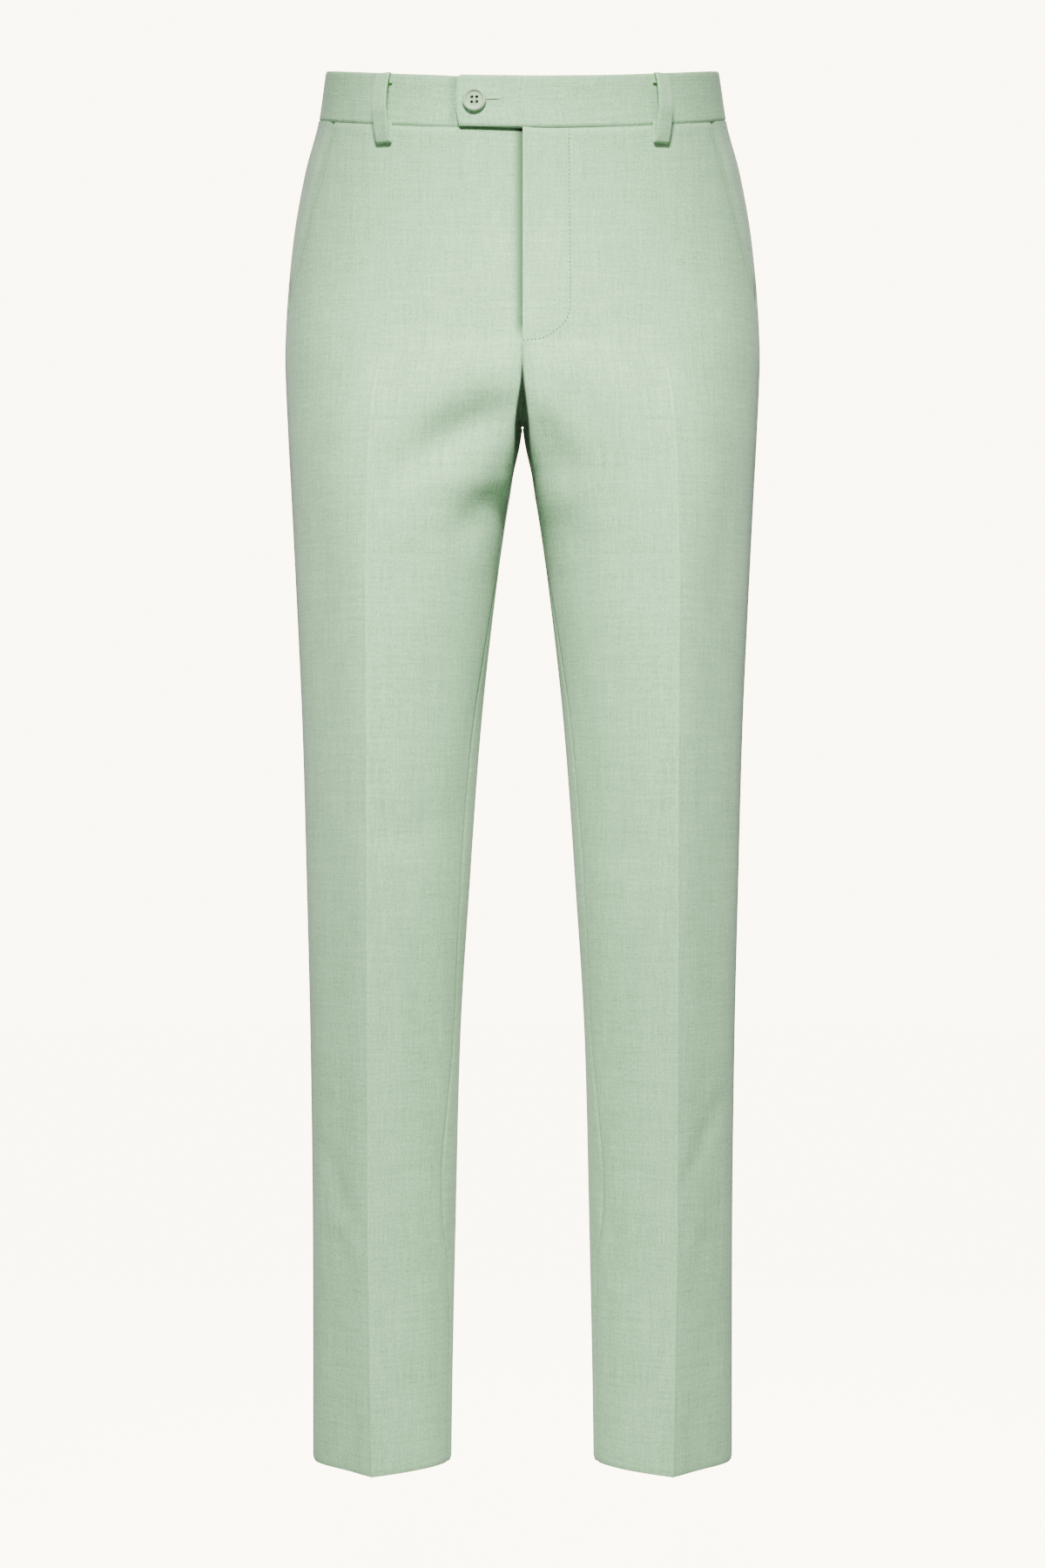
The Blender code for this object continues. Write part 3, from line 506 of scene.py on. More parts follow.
# Small folds and soft hollows, as FOLDS above. A negative depth is a ridge.
FINE_FOLDS = (
    (-1, -8, -261, -86, -300, 18, 6.6),
    (-1, -24, -306, -76, -313, 10, -0.5),
    (-1, -20, -318, -44, -356, 16, 5.0),
    (-1, 14, -268, 36, -312, 13, 2.2),
    (-1, -86, -290, -104, -330, 15, 0.8),
    (-1, 30, -330, 44, -360, 13, 1.3),
    (-1, 14, -236, 52, -252, 12, 0.7),
    (-1, 62, -262, 88, -296, 14, 0.7),
    (-1, -36, -470, -52, -600, 10, 1.2),
    (-1, 40, -440, 52, -560, 9, 1.0),
    (-1, -58, -566, -112, -578, 17, 1.1),
    (-1, 60, -590, 110, -598, 15, 0.8),
    (-1, -156, -815, -132, -868, 7, 1.0),
    (-1, -150, -862, -124, -905, 8, -0.7),
    (-1, -66, -822, -54, -905, 6, 0.8),
    (-1, -76, -700, -66, -812, 8, 0.7),
    (-1, 152, -786, 122, -846, 7, 1.2),
    (-1, 146, -850, 126, -900, 8, -0.7),
    (-1, 54, -826, 72, -896, 7, 1.0),
    (-1, 70, -690, 64, -800, 8, 0.6),
    (-1, -158, -330, -146, -470, 11, 0.8),
    (-1, 160, -300, 150, -450, 11, 0.9),
    (-1, -140, -90, -152, -200, 10, 0.5),
    (-1, 138, -100, 150, -215, 10, 0.5),
    (1, -30, -292, -92, -306, 11, -1.2),
    (1, 34, -300, 88, -308, 10, -1.0),
    (1, -34, -312, -64, -372, 14, 1.8),
    (1, 40, -318, 66, -366, 14, 1.5),
    (1, -92, -560, -146, -574, 11, 1.3),
    (1, -68, -622, -140, -634, 12, 1.2),
    (1, 78, -572, 152, -586, 12, 1.1),
    (1, 70, -634, 128, -642, 10, 0.9),
    (1, -140, -800, -118, -880, 9, 0.9),
    (1, 142, -780, 116, -866, 9, 1.0),
    (1, -60, -150, -104, -212, 16, 0.8),
    (1, 66, -158, 108, -220, 16, 0.7),
)
STREAKS = 34  # faint lengthwise ripples on a panel
STREAK_DEPTH = 0.26

CLOTH_DARK = (0.19, 0.36, 0.185)
CLOTH_LIGHT = (0.475, 0.815, 0.455)
FACING_SHARE = (1.1, 0.99, 1.1)  # the pocket facings look greyer than the fronts
# painted light: the waistband's copy of the cloth is a little lighter than the panels'
BAND_LIGHTER_SHARE = (1.05, 1.05, 1.05)
THREAD_COLOUR = (0.30, 0.52, 0.28)
THREAD_PALE = (0.52, 0.76, 0.48)
# the fly's thread: its own dark green, made darker still by painted shade in the stitch dents
FLY_THREAD_AND_SHADE_COLOUR = (0.07, 0.125, 0.06)
# painted shadow: the buttonhole's slit and the dark disc behind the button
HOLE_SHADOW_COLOUR = (0.02, 0.035, 0.015)
GAP_SHADOW_COLOUR = (0.03, 0.06, 0.03)  # painted shadow: the dark in the depth of a narrow gap between two plies
GAP_SHADOW_TONE = -0.5  # below this painted shade the cloth goes toward that shadow colour
SEAM_THREAD_COLOUR = (0.17, 0.30, 0.15)
SEAM_SHADE = 0.2  # painted shade: the cloth along a pressed seam is this much darker


# ---- materials -------------------------------------------------------------
def new_material(name, colour, roughness):
    made = bpy.data.materials.new(name)
    made.use_nodes = True
    shader = made.node_tree.nodes["Principled BSDF"]
    shader.inputs["Base Color"].default_value = (*colour, 1)
    shader.inputs["Roughness"].default_value = roughness
    return made, made.node_tree, shader


def add_node(tree, kind, inputs, **settings):
    """A shader node. Each input is a value, or the output of another node."""
    node = tree.nodes.new("ShaderNode" + kind)
    for name, value in settings.items():
        setattr(node, name, value)
    for name, value in inputs.items():
        if isinstance(value, bpy.types.NodeSocket):
            tree.links.new(value, node.inputs[name])
        else:
            node.inputs[name].default_value = value
    return node


def noise(tree, vector, across, along, detail=2.0, rough=0.5):
    """Noise whose grain is 1/across metres wide and 1/along metres long."""
    mapping = add_node(tree, "Mapping", {"Scale": (across, along, 1), "Vector": vector})
    drawn = {"Scale": 1.0, "Detail": detail, "Roughness": rough, "Vector": mapping.outputs[0]}
    return add_node(tree, "TexNoise", drawn).outputs["Fac"]


def mixed(tree, share, first, second):
    """Two colours, or outputs, mixed by a share of the second."""
    inputs = {"Factor": share, "A": first, "B": second}
    return add_node(tree, "Mix", inputs, data_type="RGBA").outputs["Result"]


def raised(tree, shader, height, strength, distance):
    """Fine relief on a shader."""
    inputs = {"Strength": strength, "Distance": distance, "Height": height}
    tree.links.new(add_node(tree, "Bump", inputs).outputs[0], shader.inputs["Normal"])


def summed(tree, parts):
    """A weighted sum of values, each taken about its middle, plus a half."""
    total = 0.5 - 0.5 * sum(weight for _, weight in parts)
    for value, weight in parts:
        inputs = {0: value, 1: weight, 2: total}
        total = add_node(tree, "Math", inputs, operation="MULTIPLY_ADD").outputs[0]
    return total


def cloth_material(name, share=(1, 1, 1), turned=False):
    """A plain-woven melange cloth: uneven threads both ways, on the cloth's own grain.

    Painted shade and highlights, held in an attribute, darken or lighten it, and paint narrow gaps
    dark."""
    dark, light = (
        [a * b for a, b in zip(colour, share)] + [1] for colour in (CLOTH_DARK, CLOTH_LIGHT)
    )
    made, tree, shader = new_material(name, light[:3], 0.82)
    shader.inputs["Sheen Weight"].default_value = 0.22
    shader.inputs["Sheen Roughness"].default_value = 0.45
    shader.inputs["Specular IOR Level"].default_value = 0.25
    vector = add_node(tree, "UVMap", {}, uv_map="grain").outputs["UV"]
    sizes = [((820, 46), (260, 12)), ((46, 820), (12, 260))]
    (warp_size, long_size), (weft_size, short_size) = sizes[::-1] if turned else sizes
    warp = noise(tree, vector, *warp_size, 3.0, 0.6)
    weft = noise(tree, vector, *weft_size, 3.0, 0.6)
    fleck = noise(tree, vector, 560, 420, 2.0, 0.6)
    long_slub = noise(tree, vector, *long_size)
    short_slub = noise(tree, vector, *short_size)
    cloud = noise(tree, vector, 26, 14)
    painted_shading = add_node(tree, "Attribute", {}, attribute_name="painted_shading").outputs["Fac"]
    uneven = [(long_slub, 0.3), (short_slub, 0.3), (cloud, 0.22)]
    value = summed(tree, [(warp, 0.75), (weft, 0.62), (fleck, 0.95), *uneven])
    adding = {"operation": "ADD", "use_clamp": True}
    # painted shade and highlights shift the weave's colour; deep painted shade goes toward the
    # painted gap shadow
    shifted = add_node(tree, "Math", {0: value, 1: painted_shading}, **adding).outputs[0]
    in_light = add_node(tree, "Math", {0: painted_shading, 1: 1 - GAP_SHADOW_TONE}, **adding).outputs[0]
    weave = mixed(tree, shifted, dark, light)
    colour = mixed(tree, in_light, (*GAP_SHADOW_COLOUR, 1), weave)
    tree.links.new(colour, shader.inputs["Base Color"])
    threads = summed(tree, [(warp, 0.5), (weft, 0.5), (fleck, 0.4)])
    raised(tree, shader, threads, 0.35, 0.0004)
    return made


def thread_material(name, colour):
    made, tree, shader = new_material(name, colour, 0.6)
    shader.inputs["Sheen Weight"].default_value = 0.3
    place = add_node(tree, "TexCoord", {}).outputs["Object"]
    raised(tree, shader, noise(tree, place, 3000, 3000, 1.0), 0.3, 0.0002)
    return made


def resin_material(name):
    """The button's cloudy resin."""
    made, tree, shader = new_material(name, (0.33, 0.50, 0.29), 0.42)
    shader.inputs["Coat Weight"].default_value = 0.15
    place = add_node(tree, "TexCoord", {}).outputs["Object"]
    swirl = noise(tree, place, 160, 160, 3.0, 0.6)
    cloudy = mixed(tree, swirl, (0.30, 0.46, 0.265, 1), (0.39, 0.56, 0.34, 1))
    tree.links.new(cloudy, shader.inputs["Base Color"])
    return made


# ---- shells ----------------------------------------------------------------
def linked(name, data):
    """A new object in the scene, for a mesh, light or camera."""
    made = bpy.data.objects.new(name, data)
    bpy.context.scene.collection.objects.link(made)
    return made


def mesh_of(name, points, faces):
    """A smooth-shaded mesh from points in mm."""
    mesh = bpy.data.meshes.new(name)
    mesh.from_pydata((np.asarray(points) * MM).tolist(), [], faces)
    mesh.shade_smooth()
    return mesh


def dressed(name, mesh, finish, replaces=None):
    """Links a finished mesh as a piece of the object."""
    mesh.materials.append(finish)
    made = linked(name, mesh)
    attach(made, "root")
    if replaces:
        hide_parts(replaces)
    return made


def shell(name, outer, inner, grain, painted_shading, finish, replaces=None):
    """A closed sheet between two grids of points in mm, with its grain in metres."""
    rows, columns = outer.shape[:2]
    count = rows * columns
    index = np.arange(count).reshape(rows, columns)
    quads = np.stack([index[:-1, :-1], index[:-1, 1:], index[1:, 1:], index[1:, :-1]], -1)
    quads = quads.reshape(-1, 4)
    rim = np.concatenate([index[0, :-1], index[:-1, -1], index[-1, :0:-1], index[:0:-1, 0]])
    after = np.roll(rim, -1)
    sides = np.stack([after, rim, rim + count, after + count], -1)
    faces = np.concatenate([quads, quads[:, ::-1] + count, sides])
    points = np.concatenate([outer.reshape(-1, 3), inner.reshape(-1, 3)])
    corners = points[faces]
    lean = np.cross(corners[:, 2] - corners[:, 0], corners[:, 3] - corners[:, 1])
    if np.sum(lean * corners.mean(1)) < 0:
        faces = faces[:, ::-1]
    mesh = mesh_of(name, points, faces.tolist())
    layer = mesh.uv_layers.new(name="grain")
    places = np.concatenate([grain.reshape(-1, 2)] * 2) * MM
    layer.data.foreach_set("uv", places[faces.reshape(-1)].reshape(-1))
    # painted shade and highlights, one value for each point
    painted = mesh.attributes.new("painted_shading", "FLOAT", "POINT")
    painted.data.foreach_set("value", np.concatenate([painted_shading.reshape(-1)] * 2))
    mesh.set_sharp_from_angle(angle=SHARP_FOLD)
    return dressed(name, mesh, finish, replaces)


def corner_places(levels):
    """s on the front and on the back where the wall of the groove or inseam ends."""
    tries = np.linspace(0, 1, 401)
    found = []
    for from_back in (False, True):
        flat = column("flat_back" if from_back else "flat_front", levels)[:, None]
        y = section(4 - tries if from_back else tries, levels[:, None])[..., 1]
        sign = 1 if from_back else -1
        inside = sign * (flat - y) > 0.05
        found.append(tries[np.argmin(inside, axis=1)])
    return found[0], 4 - found[1]


def stretch(start, end, levels, count, near_start, near_end, wall=None):
    """Places along one stretch of every row, and their distances from its start.

    wall gives, for each row, the place where the groove's wall turns into the face. The
    wall has its own columns, so that those of the face lie below each other."""
    share = np.linspace(0, 1, 241)
    tries = start[:, None] + (end - start)[:, None] * share
    points = section(tries, levels[:, None])
    run = np.linalg.norm(np.diff(points, axis=1), axis=-1).cumsum(1)
    run = np.concatenate([np.zeros((len(levels), 1)), run], 1)
    places, marks = [], []
    for row, width in enumerate(run[:, -1]):
        low, high = near_start[-1], width - near_end[-1]
        if wall is None:
            middle = np.linspace(low, high, count)[1:-1]
        else:
            at = np.interp(wall[row], tries[row], run[row])
            if wall[row] > 2:
                at = min(at - 1, high - WALL_COLUMNS * 0.3)
                face = np.linspace(low, at, count - WALL_COLUMNS)
                middle = np.append(face[1:], np.linspace(at, high, WALL_COLUMNS + 1)[1:-1])
            else:
                at = max(at + 1, low + WALL_COLUMNS * 0.3)
                face = np.linspace(at, high, count - WALL_COLUMNS)
                middle = np.append(np.linspace(low, at, WALL_COLUMNS + 1)[1:-1], face[:-1])
        mark = np.concatenate([near_start, middle, width - near_end[::-1]])
        places.append(np.interp(mark, run[row], tries[row]))
        marks.append(mark)
    return np.array(places), np.array(marks)


def fine_depth(point):
    """How far the small folds sink the cloth."""
    return fold_depth(point, FINE_FOLDS, 0.18, (-0.35, 0.35, 1.4, 0.55), (2, 30))


def streaks(across, level, seed):
    """Faint ripples along the grain of a panel, uneven in length and place."""
    random = np.random.default_rng(seed)
    depth = np.zeros(np.broadcast_shapes(across.shape, level.shape))
    for _ in range(STREAKS):
        place, middle = random.uniform(-75, 90), random.uniform(-1040, -60)
        width, length = random.uniform(5, 13), random.uniform(60, 190)
        lean = random.uniform(-0.05, 0.05)
        strength = random.uniform(-1, 1) * STREAK_DEPTH
        shift = across - place - lean * (level - middle)
        depth += strength * bump_of(shift, width) * bump_of(level - middle, length)
    return depth


def hollow_flank(across, width, level):
    """How far the cloth beside a pressed crease is hollowed, on the crease's outer side."""
    u = np.clip(across / width, 0, 1)
    return FLANK_HOLLOW * np.sin(math.pi * u) ** 2 * (1 - u) * smooth_step(level, *CREASE_STARTS)


def fine_levels():
    """Rows of a panel, closer together at the waist seam, the fork and the hem."""
    top = BAND_SEAM - SEAM_GAP / 2
    upper = np.arange(top - NEAR_SEAM[-1] - ROW_STEP, CROTCH + 1, -ROW_STEP)
    lower = np.linspace(CROTCH - 1.5, HEM + 5, int((CROTCH - HEM - 6) / ROW_STEP))
    return np.concatenate([top - NEAR_SEAM, upper, [CROTCH], lower, [HEM + 3, HEM + 1, HEM]])


def hem_wall(level):
    return CLOTH + (HEM_WALL - CLOTH) * smooth_step(level, HEM + HEM_DEPTH + 2, HEM + HEM_DEPTH)


def crease_line(from_crease, level):
    return bump_of(from_crease, CREASE_REACH) * smooth_step(level, *CREASE_STARTS)


def keep_apart(points, half, free):
    """Keeps a centre seam's points on their own side of the middle plane."""
    x = half * np.maximum(half * points[..., 0], SEAM_GAP / 2)
    return np.concatenate([np.where(free, points[..., 0], x)[..., None], points[..., 1:]], -1)


def finish_panel(half, side, face, rows, levels, lift, roll, painted_shading, seed, lapped):
    """Builds a panel from its places, the shift outwards and the roll at its seams."""
    s, across = rows
    level = np.broadcast_to(levels[:, None], s.shape)
    plain, _ = cloth(half, s, level)
    crease = crease_line(across, level)
    dent = fine_depth(plain) + streaks(across, level, seed)
    still = 1 - bump_of(levels - BAND_SEAM, 14)[:, None]
    height_out = lift + CREASE_RIDGE * crease - dent * still - roll
    outer, out = cloth(half, s, level, height_out)
    inner = outer - (hem_wall(level) - np.minimum(roll, SEAM_ROLL))[..., None] * out
    rounded = 0.7 * bump_of(level - HEM, 1.5)
    outer = outer - rounded[..., None] * out
    free = level > lapped
    outer, inner = keep_apart(outer, half, free), keep_apart(inner, half, free)
    # painted highlight along the pressed crease
    painted_shading = painted_shading + 0.12 * crease
    grain = np.stack([across + 400 * (face == "back"), level], -1)
    name = f"cloth_{face}_{side}"
    return shell(name, outer, inner, grain, painted_shading, SAGE_CLOTH, f"{face}_{side}")


def fine_front(half, side):
    levels = fine_levels()
    start, end = [], []
    for level in levels:
        if level < CROTCH + 0.1:
            start.append(shift_along(place_of_inseam(level), level, SEAM_GAP / 2))
        elif half < 0 and level > FLY_CLOSED:
            lap = FLY_UNDERLAP * smooth_step(level, FLY_CLOSED, FLY_OPEN)
            start.append(place_of_x(-lap, level))
        else:
            start.append(0.0)
        if level > POCKET_END:
            end.append(place_of_x(mouth_x(level), level))
        else:
            end.append(shift_along(float(through(SIDE_SEAM, level)), level, -SEAM_GAP / 2))
    start, end = np.array(start), np.array(end)
    ones = np.ones(len(levels))
    wall = np.maximum(corner_places(levels)[0], start)
    near = NEAR_SEAM if half > 0 else NEAR_FLY
    inside, from_start = stretch(start, ones, levels, 48, near, NEAR_CREASE, wall)
    outside, past = stretch(ones, end, levels, SIDE_STEPS, NEAR_CREASE, NEAR_MOUTH)
    to_crease = from_start[:, -1:] - from_start
    to_end = past[:, -1:] - past
    s = np.concatenate([inside, outside[:, 1:]], 1)
    across = np.concatenate([-to_crease, past[:, 1:]], 1)
    near_start = np.concatenate([from_start, past[:, 1:] + from_start[:, -1:]], 1)
    near_end = np.concatenate([to_crease + past[:, -1:], to_end[:, 1:]], 1)
    level = levels[:, None]
    open_fly = smooth_step(level, FLY_BOTTOM - 30, FLY_BOTTOM + 10)
    at_mouth = smooth_step(level, POCKET_END - 4, POCKET_END + 8)
    folded = open_fly if half > 0 else 0.75 * open_fly
    roll = SEAM_ROLL * bump_of(near_start, SEAM_REACH) * (1 - folded)
    roll = roll + SEAM_ROLL * bump_of(near_end, SEAM_REACH) * (1 - 0.6 * at_mouth)
    roll = np.minimum(roll, SEAM_ROLL)
    roll = np.maximum(roll, WAIST_ROLL * bump_of(level - levels[0], WAIST_REACH))
    x = base(s, np.broadcast_to(level, s.shape))[..., 0] * half
    lift = np.array([fly_lift(half, row, at) for row, at in zip(x, levels)])
    # painted shade along the seams, less where the fly is folded and at the pocket mouth
    painted_shading = -SEAM_SHADE * bump_of(near_start, 1.6) * (1 - folded)
    painted_shading = painted_shading - SEAM_SHADE * bump_of(near_end, 1.4) * (1 - at_mouth)
    # painted shade along the pocket mouth's stitched row and its edge
    mouth_row_shade = bump_of(near_end - MOUTH_STITCH, 0.9) + bump_of(near_end - 0.2, 0.5)
    painted_shading = painted_shading - 0.16 * at_mouth * mouth_row_shade
    lift = lift - hollow_flank(across, past[:, -1:], level)
    if half < 0:
        in_fold = np.maximum(-x, 0)
        lift = lift - FLY_DIP * open_fly * bump_of(in_fold, FLY_DIP_REACH)
        # painted shade in the fly's fold, beside the upper front's edge
        fold_shade = 2 * FLY_SHADE * bump_of(in_fold, 5.0)
        painted_shading = painted_shading - fold_shade * smooth_step(level, FLY_BOTTOM - 6, FLY_BOTTOM + 14)
        # painted shadow under the tab's lower edge
        under_tab = smooth_step(x, -TAB_END - 2, -TAB_END + 5) * bump_of(level - levels[0], 3.0)
        painted_shading = painted_shading - FLY_SHADE * under_tab
    if half > 0:
        lift = lift + FLY_FOLD * open_fly * np.exp(-np.maximum(x, 0) / 9)
        # painted highlight along the fly's folded edge
        painted_shading = painted_shading + 0.12 * open_fly * bump_of(near_start, 1.2)
    lapped = FLY_CLOSED + 0.1 if half < 0 else math.inf
    seed = 11 if half > 0 else 12
    return finish_panel(half, side, "front", (s, across), levels, lift, roll, painted_shading, seed, lapped)


def fine_back(half, side):
    levels = fine_levels()
    start, end = [], []
    for level in levels:
        start.append(shift_along(float(through(SIDE_SEAM, level)), level, SEAM_GAP / 2))
        if level < CROTCH + 0.1:
            end.append(4 + shift_along(place_of_inseam(level), level, -SEAM_GAP / 2))
        else:
            end.append(4.0)
    start, end = np.array(start), np.array(end)
    threes = np.full(len(levels), 3.0)
    outside, from_start = stretch(start, threes, levels, SIDE_STEPS, NEAR_SEAM, NEAR_CREASE)
    wall = np.minimum(corner_places(levels)[1], end)
    inside, past = stretch(threes, end, levels, 52, NEAR_CREASE, NEAR_SEAM, wall)
    s = np.concatenate([outside, inside[:, 1:]], 1)
    width = from_start[:, -1:]
    across = np.concatenate([from_start - width, past[:, 1:]], 1)
    near_start = across + width
    near_end = past[:, -1:] - across
    level = levels[:, None]
    roll = bump_of(near_start, SEAM_REACH) + bump_of(near_end, SEAM_REACH)
    roll = SEAM_ROLL * np.minimum(roll + bump_of(level - levels[0], SEAM_REACH), 1)
    # painted shade along both seams
    painted_shading = -0.25 * (bump_of(near_start, 1.4) + bump_of(near_end, 1.4))
    lift = np.zeros(s.shape)
    seed = 21 if half > 0 else 22
    return finish_panel(
        half, side, "back", (s, across), levels, lift, roll, painted_shading, seed, math.inf
    )


def fine_facing(half, side):
    """The side piece in the pocket opening, behind the front and level with the back."""
    top = BAND_SEAM - SEAM_GAP / 2
    levels = np.concatenate([top - NEAR_SEAM, np.arange(top - 8, FLY_CLOSED, -3.0), [FLY_CLOSED]])
    behind = CLOTH + FACING_GAP
    rows, drops, marks = [], [], []
    for level in levels:
        mouth = place_of_x(mouth_x(level), level)
        start = shift_along(mouth, level, -FACING_UNDERLAP)
        end = shift_along(float(through(SIDE_SEAM, level)), level, -SEAM_GAP / 2)
        lip = min(shift_along(mouth, level, FACING_LIP), end - 0.02)
        s = np.concatenate([np.linspace(start, lip, 6), np.linspace(lip, end, 22)[1:]])
        past = np.linalg.norm(section(s, level) - section(lip, level), axis=-1)
        past = np.where(s > lip, past, 0)
        open_here = smooth_step(level, POCKET_END + 8, POCKET_END + 34)
        rise = open_here * smooth_step(past, 0, FACING_RISE)
        to_end = past[-1] - past
        roll = SEAM_ROLL * bump_of(np.where(s > lip, to_end, 99), SEAM_REACH) * open_here
        rows.append(s)
        drops.append(-behind * (1 - rise) - roll)
        marks.append(np.where(s > lip, past, (s - lip) * FACING_UNDERLAP / (lip - start)))
    s = np.array(rows)
    level = np.broadcast_to(levels[:, None], s.shape)
    outer, out = cloth(half, s, level, np.array(drops))
    inner = outer - CLOTH * out
    grain = np.stack([np.array(marks) + 900, level], -1)
    name = f"cloth_pocket_facing_{side}"
    # painted shadow on the facing along the pocket mouth
    painted_shading = -0.3 * bump_of(np.array(marks), 1.8)
    return shell(
        name, outer, inner, grain, painted_shading, FACING_CLOTH, f"pocket_facing_{side}"
    )


def fine_band(half, side):
    trim = SEAM_GAP / 2
    bottom = BAND_SEAM + trim
    edge = np.array([0, 0.3, 0.8, 1.5, 2.6])
    middle_levels = np.linspace(bottom + edge[-1], BAND_TOP - edge[-1], 13)[1:-1]
    levels = np.concatenate([bottom + edge, middle_levels, BAND_TOP - edge[::-1]])
    starts = []
    for level in levels:
        fall = TAB_BOW * ((level - BAND_MIDDLE) / (BAND_TOP - BAND_MIDDLE)) ** 2
        starts.append(place_of_x(fall - TAB_END if half > 0 else -BAND_UNDERLAP, level))
    near = np.array([0, 0.35, 0.9, 1.8, 3.2])
    s, along = stretch(np.array(starts), np.full(len(levels), 4.0), levels, 110, near, near)
    level = np.broadcast_to(levels[:, None], s.shape)
    x = base(s, level)[..., 0] * half
    lift = np.array([band_lift(half, row, at) for row, at in zip(x, s)])
    if half > 0:
        lift = lift + TAB_LIFT * smooth_step(x, 20, -20) * (s < 1.5)
    else:
        beside = np.abs(x + TAB_END + 2)
        lift = lift - TAB_DIP * bump_of(beside, 6) * (s < 1.5)
    edge_near = np.minimum(level - bottom, BAND_TOP - level)
    end_near = np.where(s < 2, along, along[:, -1:] - along)
    rounded = 0.8 * bump_of(edge_near, 0.9) + 0.7 * bump_of(end_near, 0.9)
    wave = 0.16 * np.sin(along / 17 + half) * bump_of(level - BAND_MIDDLE, 16)
    wave = wave + 0.12 * np.sin(along / 41 + 2 + level / 9)
    rounded = np.minimum(rounded, 1.0)
    outer, _ = cloth(half, s, level, lift + wave - rounded)
    inner, _ = cloth(half, s, level, lift + wave - BAND_CLOTH + rounded)
    outer, inner = (keep_apart(p, half, s < 3.9) for p in (outer, inner))
    grain = np.stack([along + 1200, level], -1)
    # painted highlight along the band's top edge, painted shade along its lower edge
    painted_shading = 0.1 * bump_of(BAND_TOP - level, 1.0) - 0.15 * bump_of(level - bottom, 0.9)
    if half < 0:
        # painted shadow beside the tab's end
        painted_shading = painted_shading - 0.7 * FLY_SHADE * bump_of(beside, 4.5) * (s < 1.5)
    # painted shadow on the band beside the front belt loops' outer sides
    painted_shading = painted_shading - 0.55 * FLY_SHADE * bump_of(np.abs(x) - LOOP_X - 4, 5.5) * (s < 1.6)
    name = f"cloth_waistband_{side}"
    return shell(
        name, outer, inner, grain, painted_shading, BAND_SAGE, f"waistband_{side}"
    )


def smooth_path(points, count):
    """A Catmull-Rom curve through points, as evenly spaced points."""
    points = np.asarray(points, float)
    padded = np.concatenate([2 * points[:1] - points[1:2], points, 2 * points[-1:] - points[-2:-1]])
    t = np.linspace(0, 1, 16, endpoint=False)[:, None]
    found = []
    for i in range(len(points) - 1):
        a, b, c, d = padded[i : i + 4]
        bent = (2 * a - 5 * b + 4 * c - d) * t * t + (3 * b - a - 3 * c + d) * t**3
        found.append(0.5 * (2 * b + (c - a) * t + bent))
    found = np.concatenate([*found, points[-1:]])
    run = run_along(found)
    even = np.linspace(0, run[-1], count)
    return at_run(even, run, found), even


def fine_loop(half, name, s):
    """A belt loop and the two rows of stitches along its edges."""
    top, out = cloth(half, np.array([s]), np.array([BAND_TOP]))
    flat = unit(out[0] * [1, 1, 0])
    low, _ = cloth(half, np.array([s]), np.array([BAND_SEAM]))
    down = (low[0] - top[0]) / abs(low[0][2] - top[0][2])
    across = np.cross(flat, [0, 0, 1])
    coarse = np.array([top[0] + flat * (p + 0.25) - down * q for p, q in LOOP_PATH])
    path, along = smooth_path(coarse, 130)
    side = unit(np.cross(np.gradient(path, axis=0), across))
    shares = np.array([-1, -0.96, -0.88, -0.7, -0.35, 0, 0.35, 0.7, 0.88, 0.96, 1])
    edges = shares * LOOP_WIDTH / 2
    curve = np.array([bow_of_band(half, s, e) for e in edges])
    grid = path[:, None, :] + edges[None, :, None] * across - curve[None, :, None] * flat
    half_wall = LOOP_CLOTH / 2 - 0.4 * bump_of(1 - np.abs(shares), 0.07)
    sunk = half_wall - 0.22 * bump_of(np.abs(edges) - STITCH_IN, 0.5)
    outer = grid + side[:, None, :] * sunk[None, :, None]
    inner = grid - side[:, None, :] * half_wall[None, :, None]
    grain = np.stack(np.broadcast_arrays(edges[None, :] + 40 * s, along[:, None]), -1)
    # painted highlight along the loop's two folded edges
    painted_shading = np.broadcast_to(0.12 * bump_of(1 - np.abs(shares), 0.1), outer.shape[:2])
    strip = shell(
        f"cloth_{name}", outer, inner, grain, painted_shading, SAGE_CLOTH, name
    )
    sewn = []
    for edge in (-1, 1):
        column = 2 if edge < 0 else 8
        line = outer[4:-4, column] - edge * 0.9 * across
        sewn.append((line + 0.05 * side[4:-4], side[4:-4]))
    return strip, sewn


# ---- sewing ----------------------------------------------------------------
def along_line(points, outs, pitch):
    """Middles, directions and outward directions of stitches along a line."""
    run = run_along(points)
    at = np.arange(pitch / 2, run[-1], pitch)
    way = at_run(at + 0.4, run, points) - at_run(at - 0.4, run, points)
    return at_run(at, run, points), way, at_run(at, run, outs)


def tube_faces(rings, sides):
    """The faces of a closed tube, whose points lie ring after ring."""
    faces = []
    for first in range(0, (rings - 1) * sides, sides):
        for k in range(sides):
            n = (k + 1) % sides
            faces.append((first + k, first + n, first + sides + n, first + sides + k))
    last = sides * (rings - 1)
    return [*faces, tuple(range(sides - 1, -1, -1)), tuple(range(last, last + sides))]


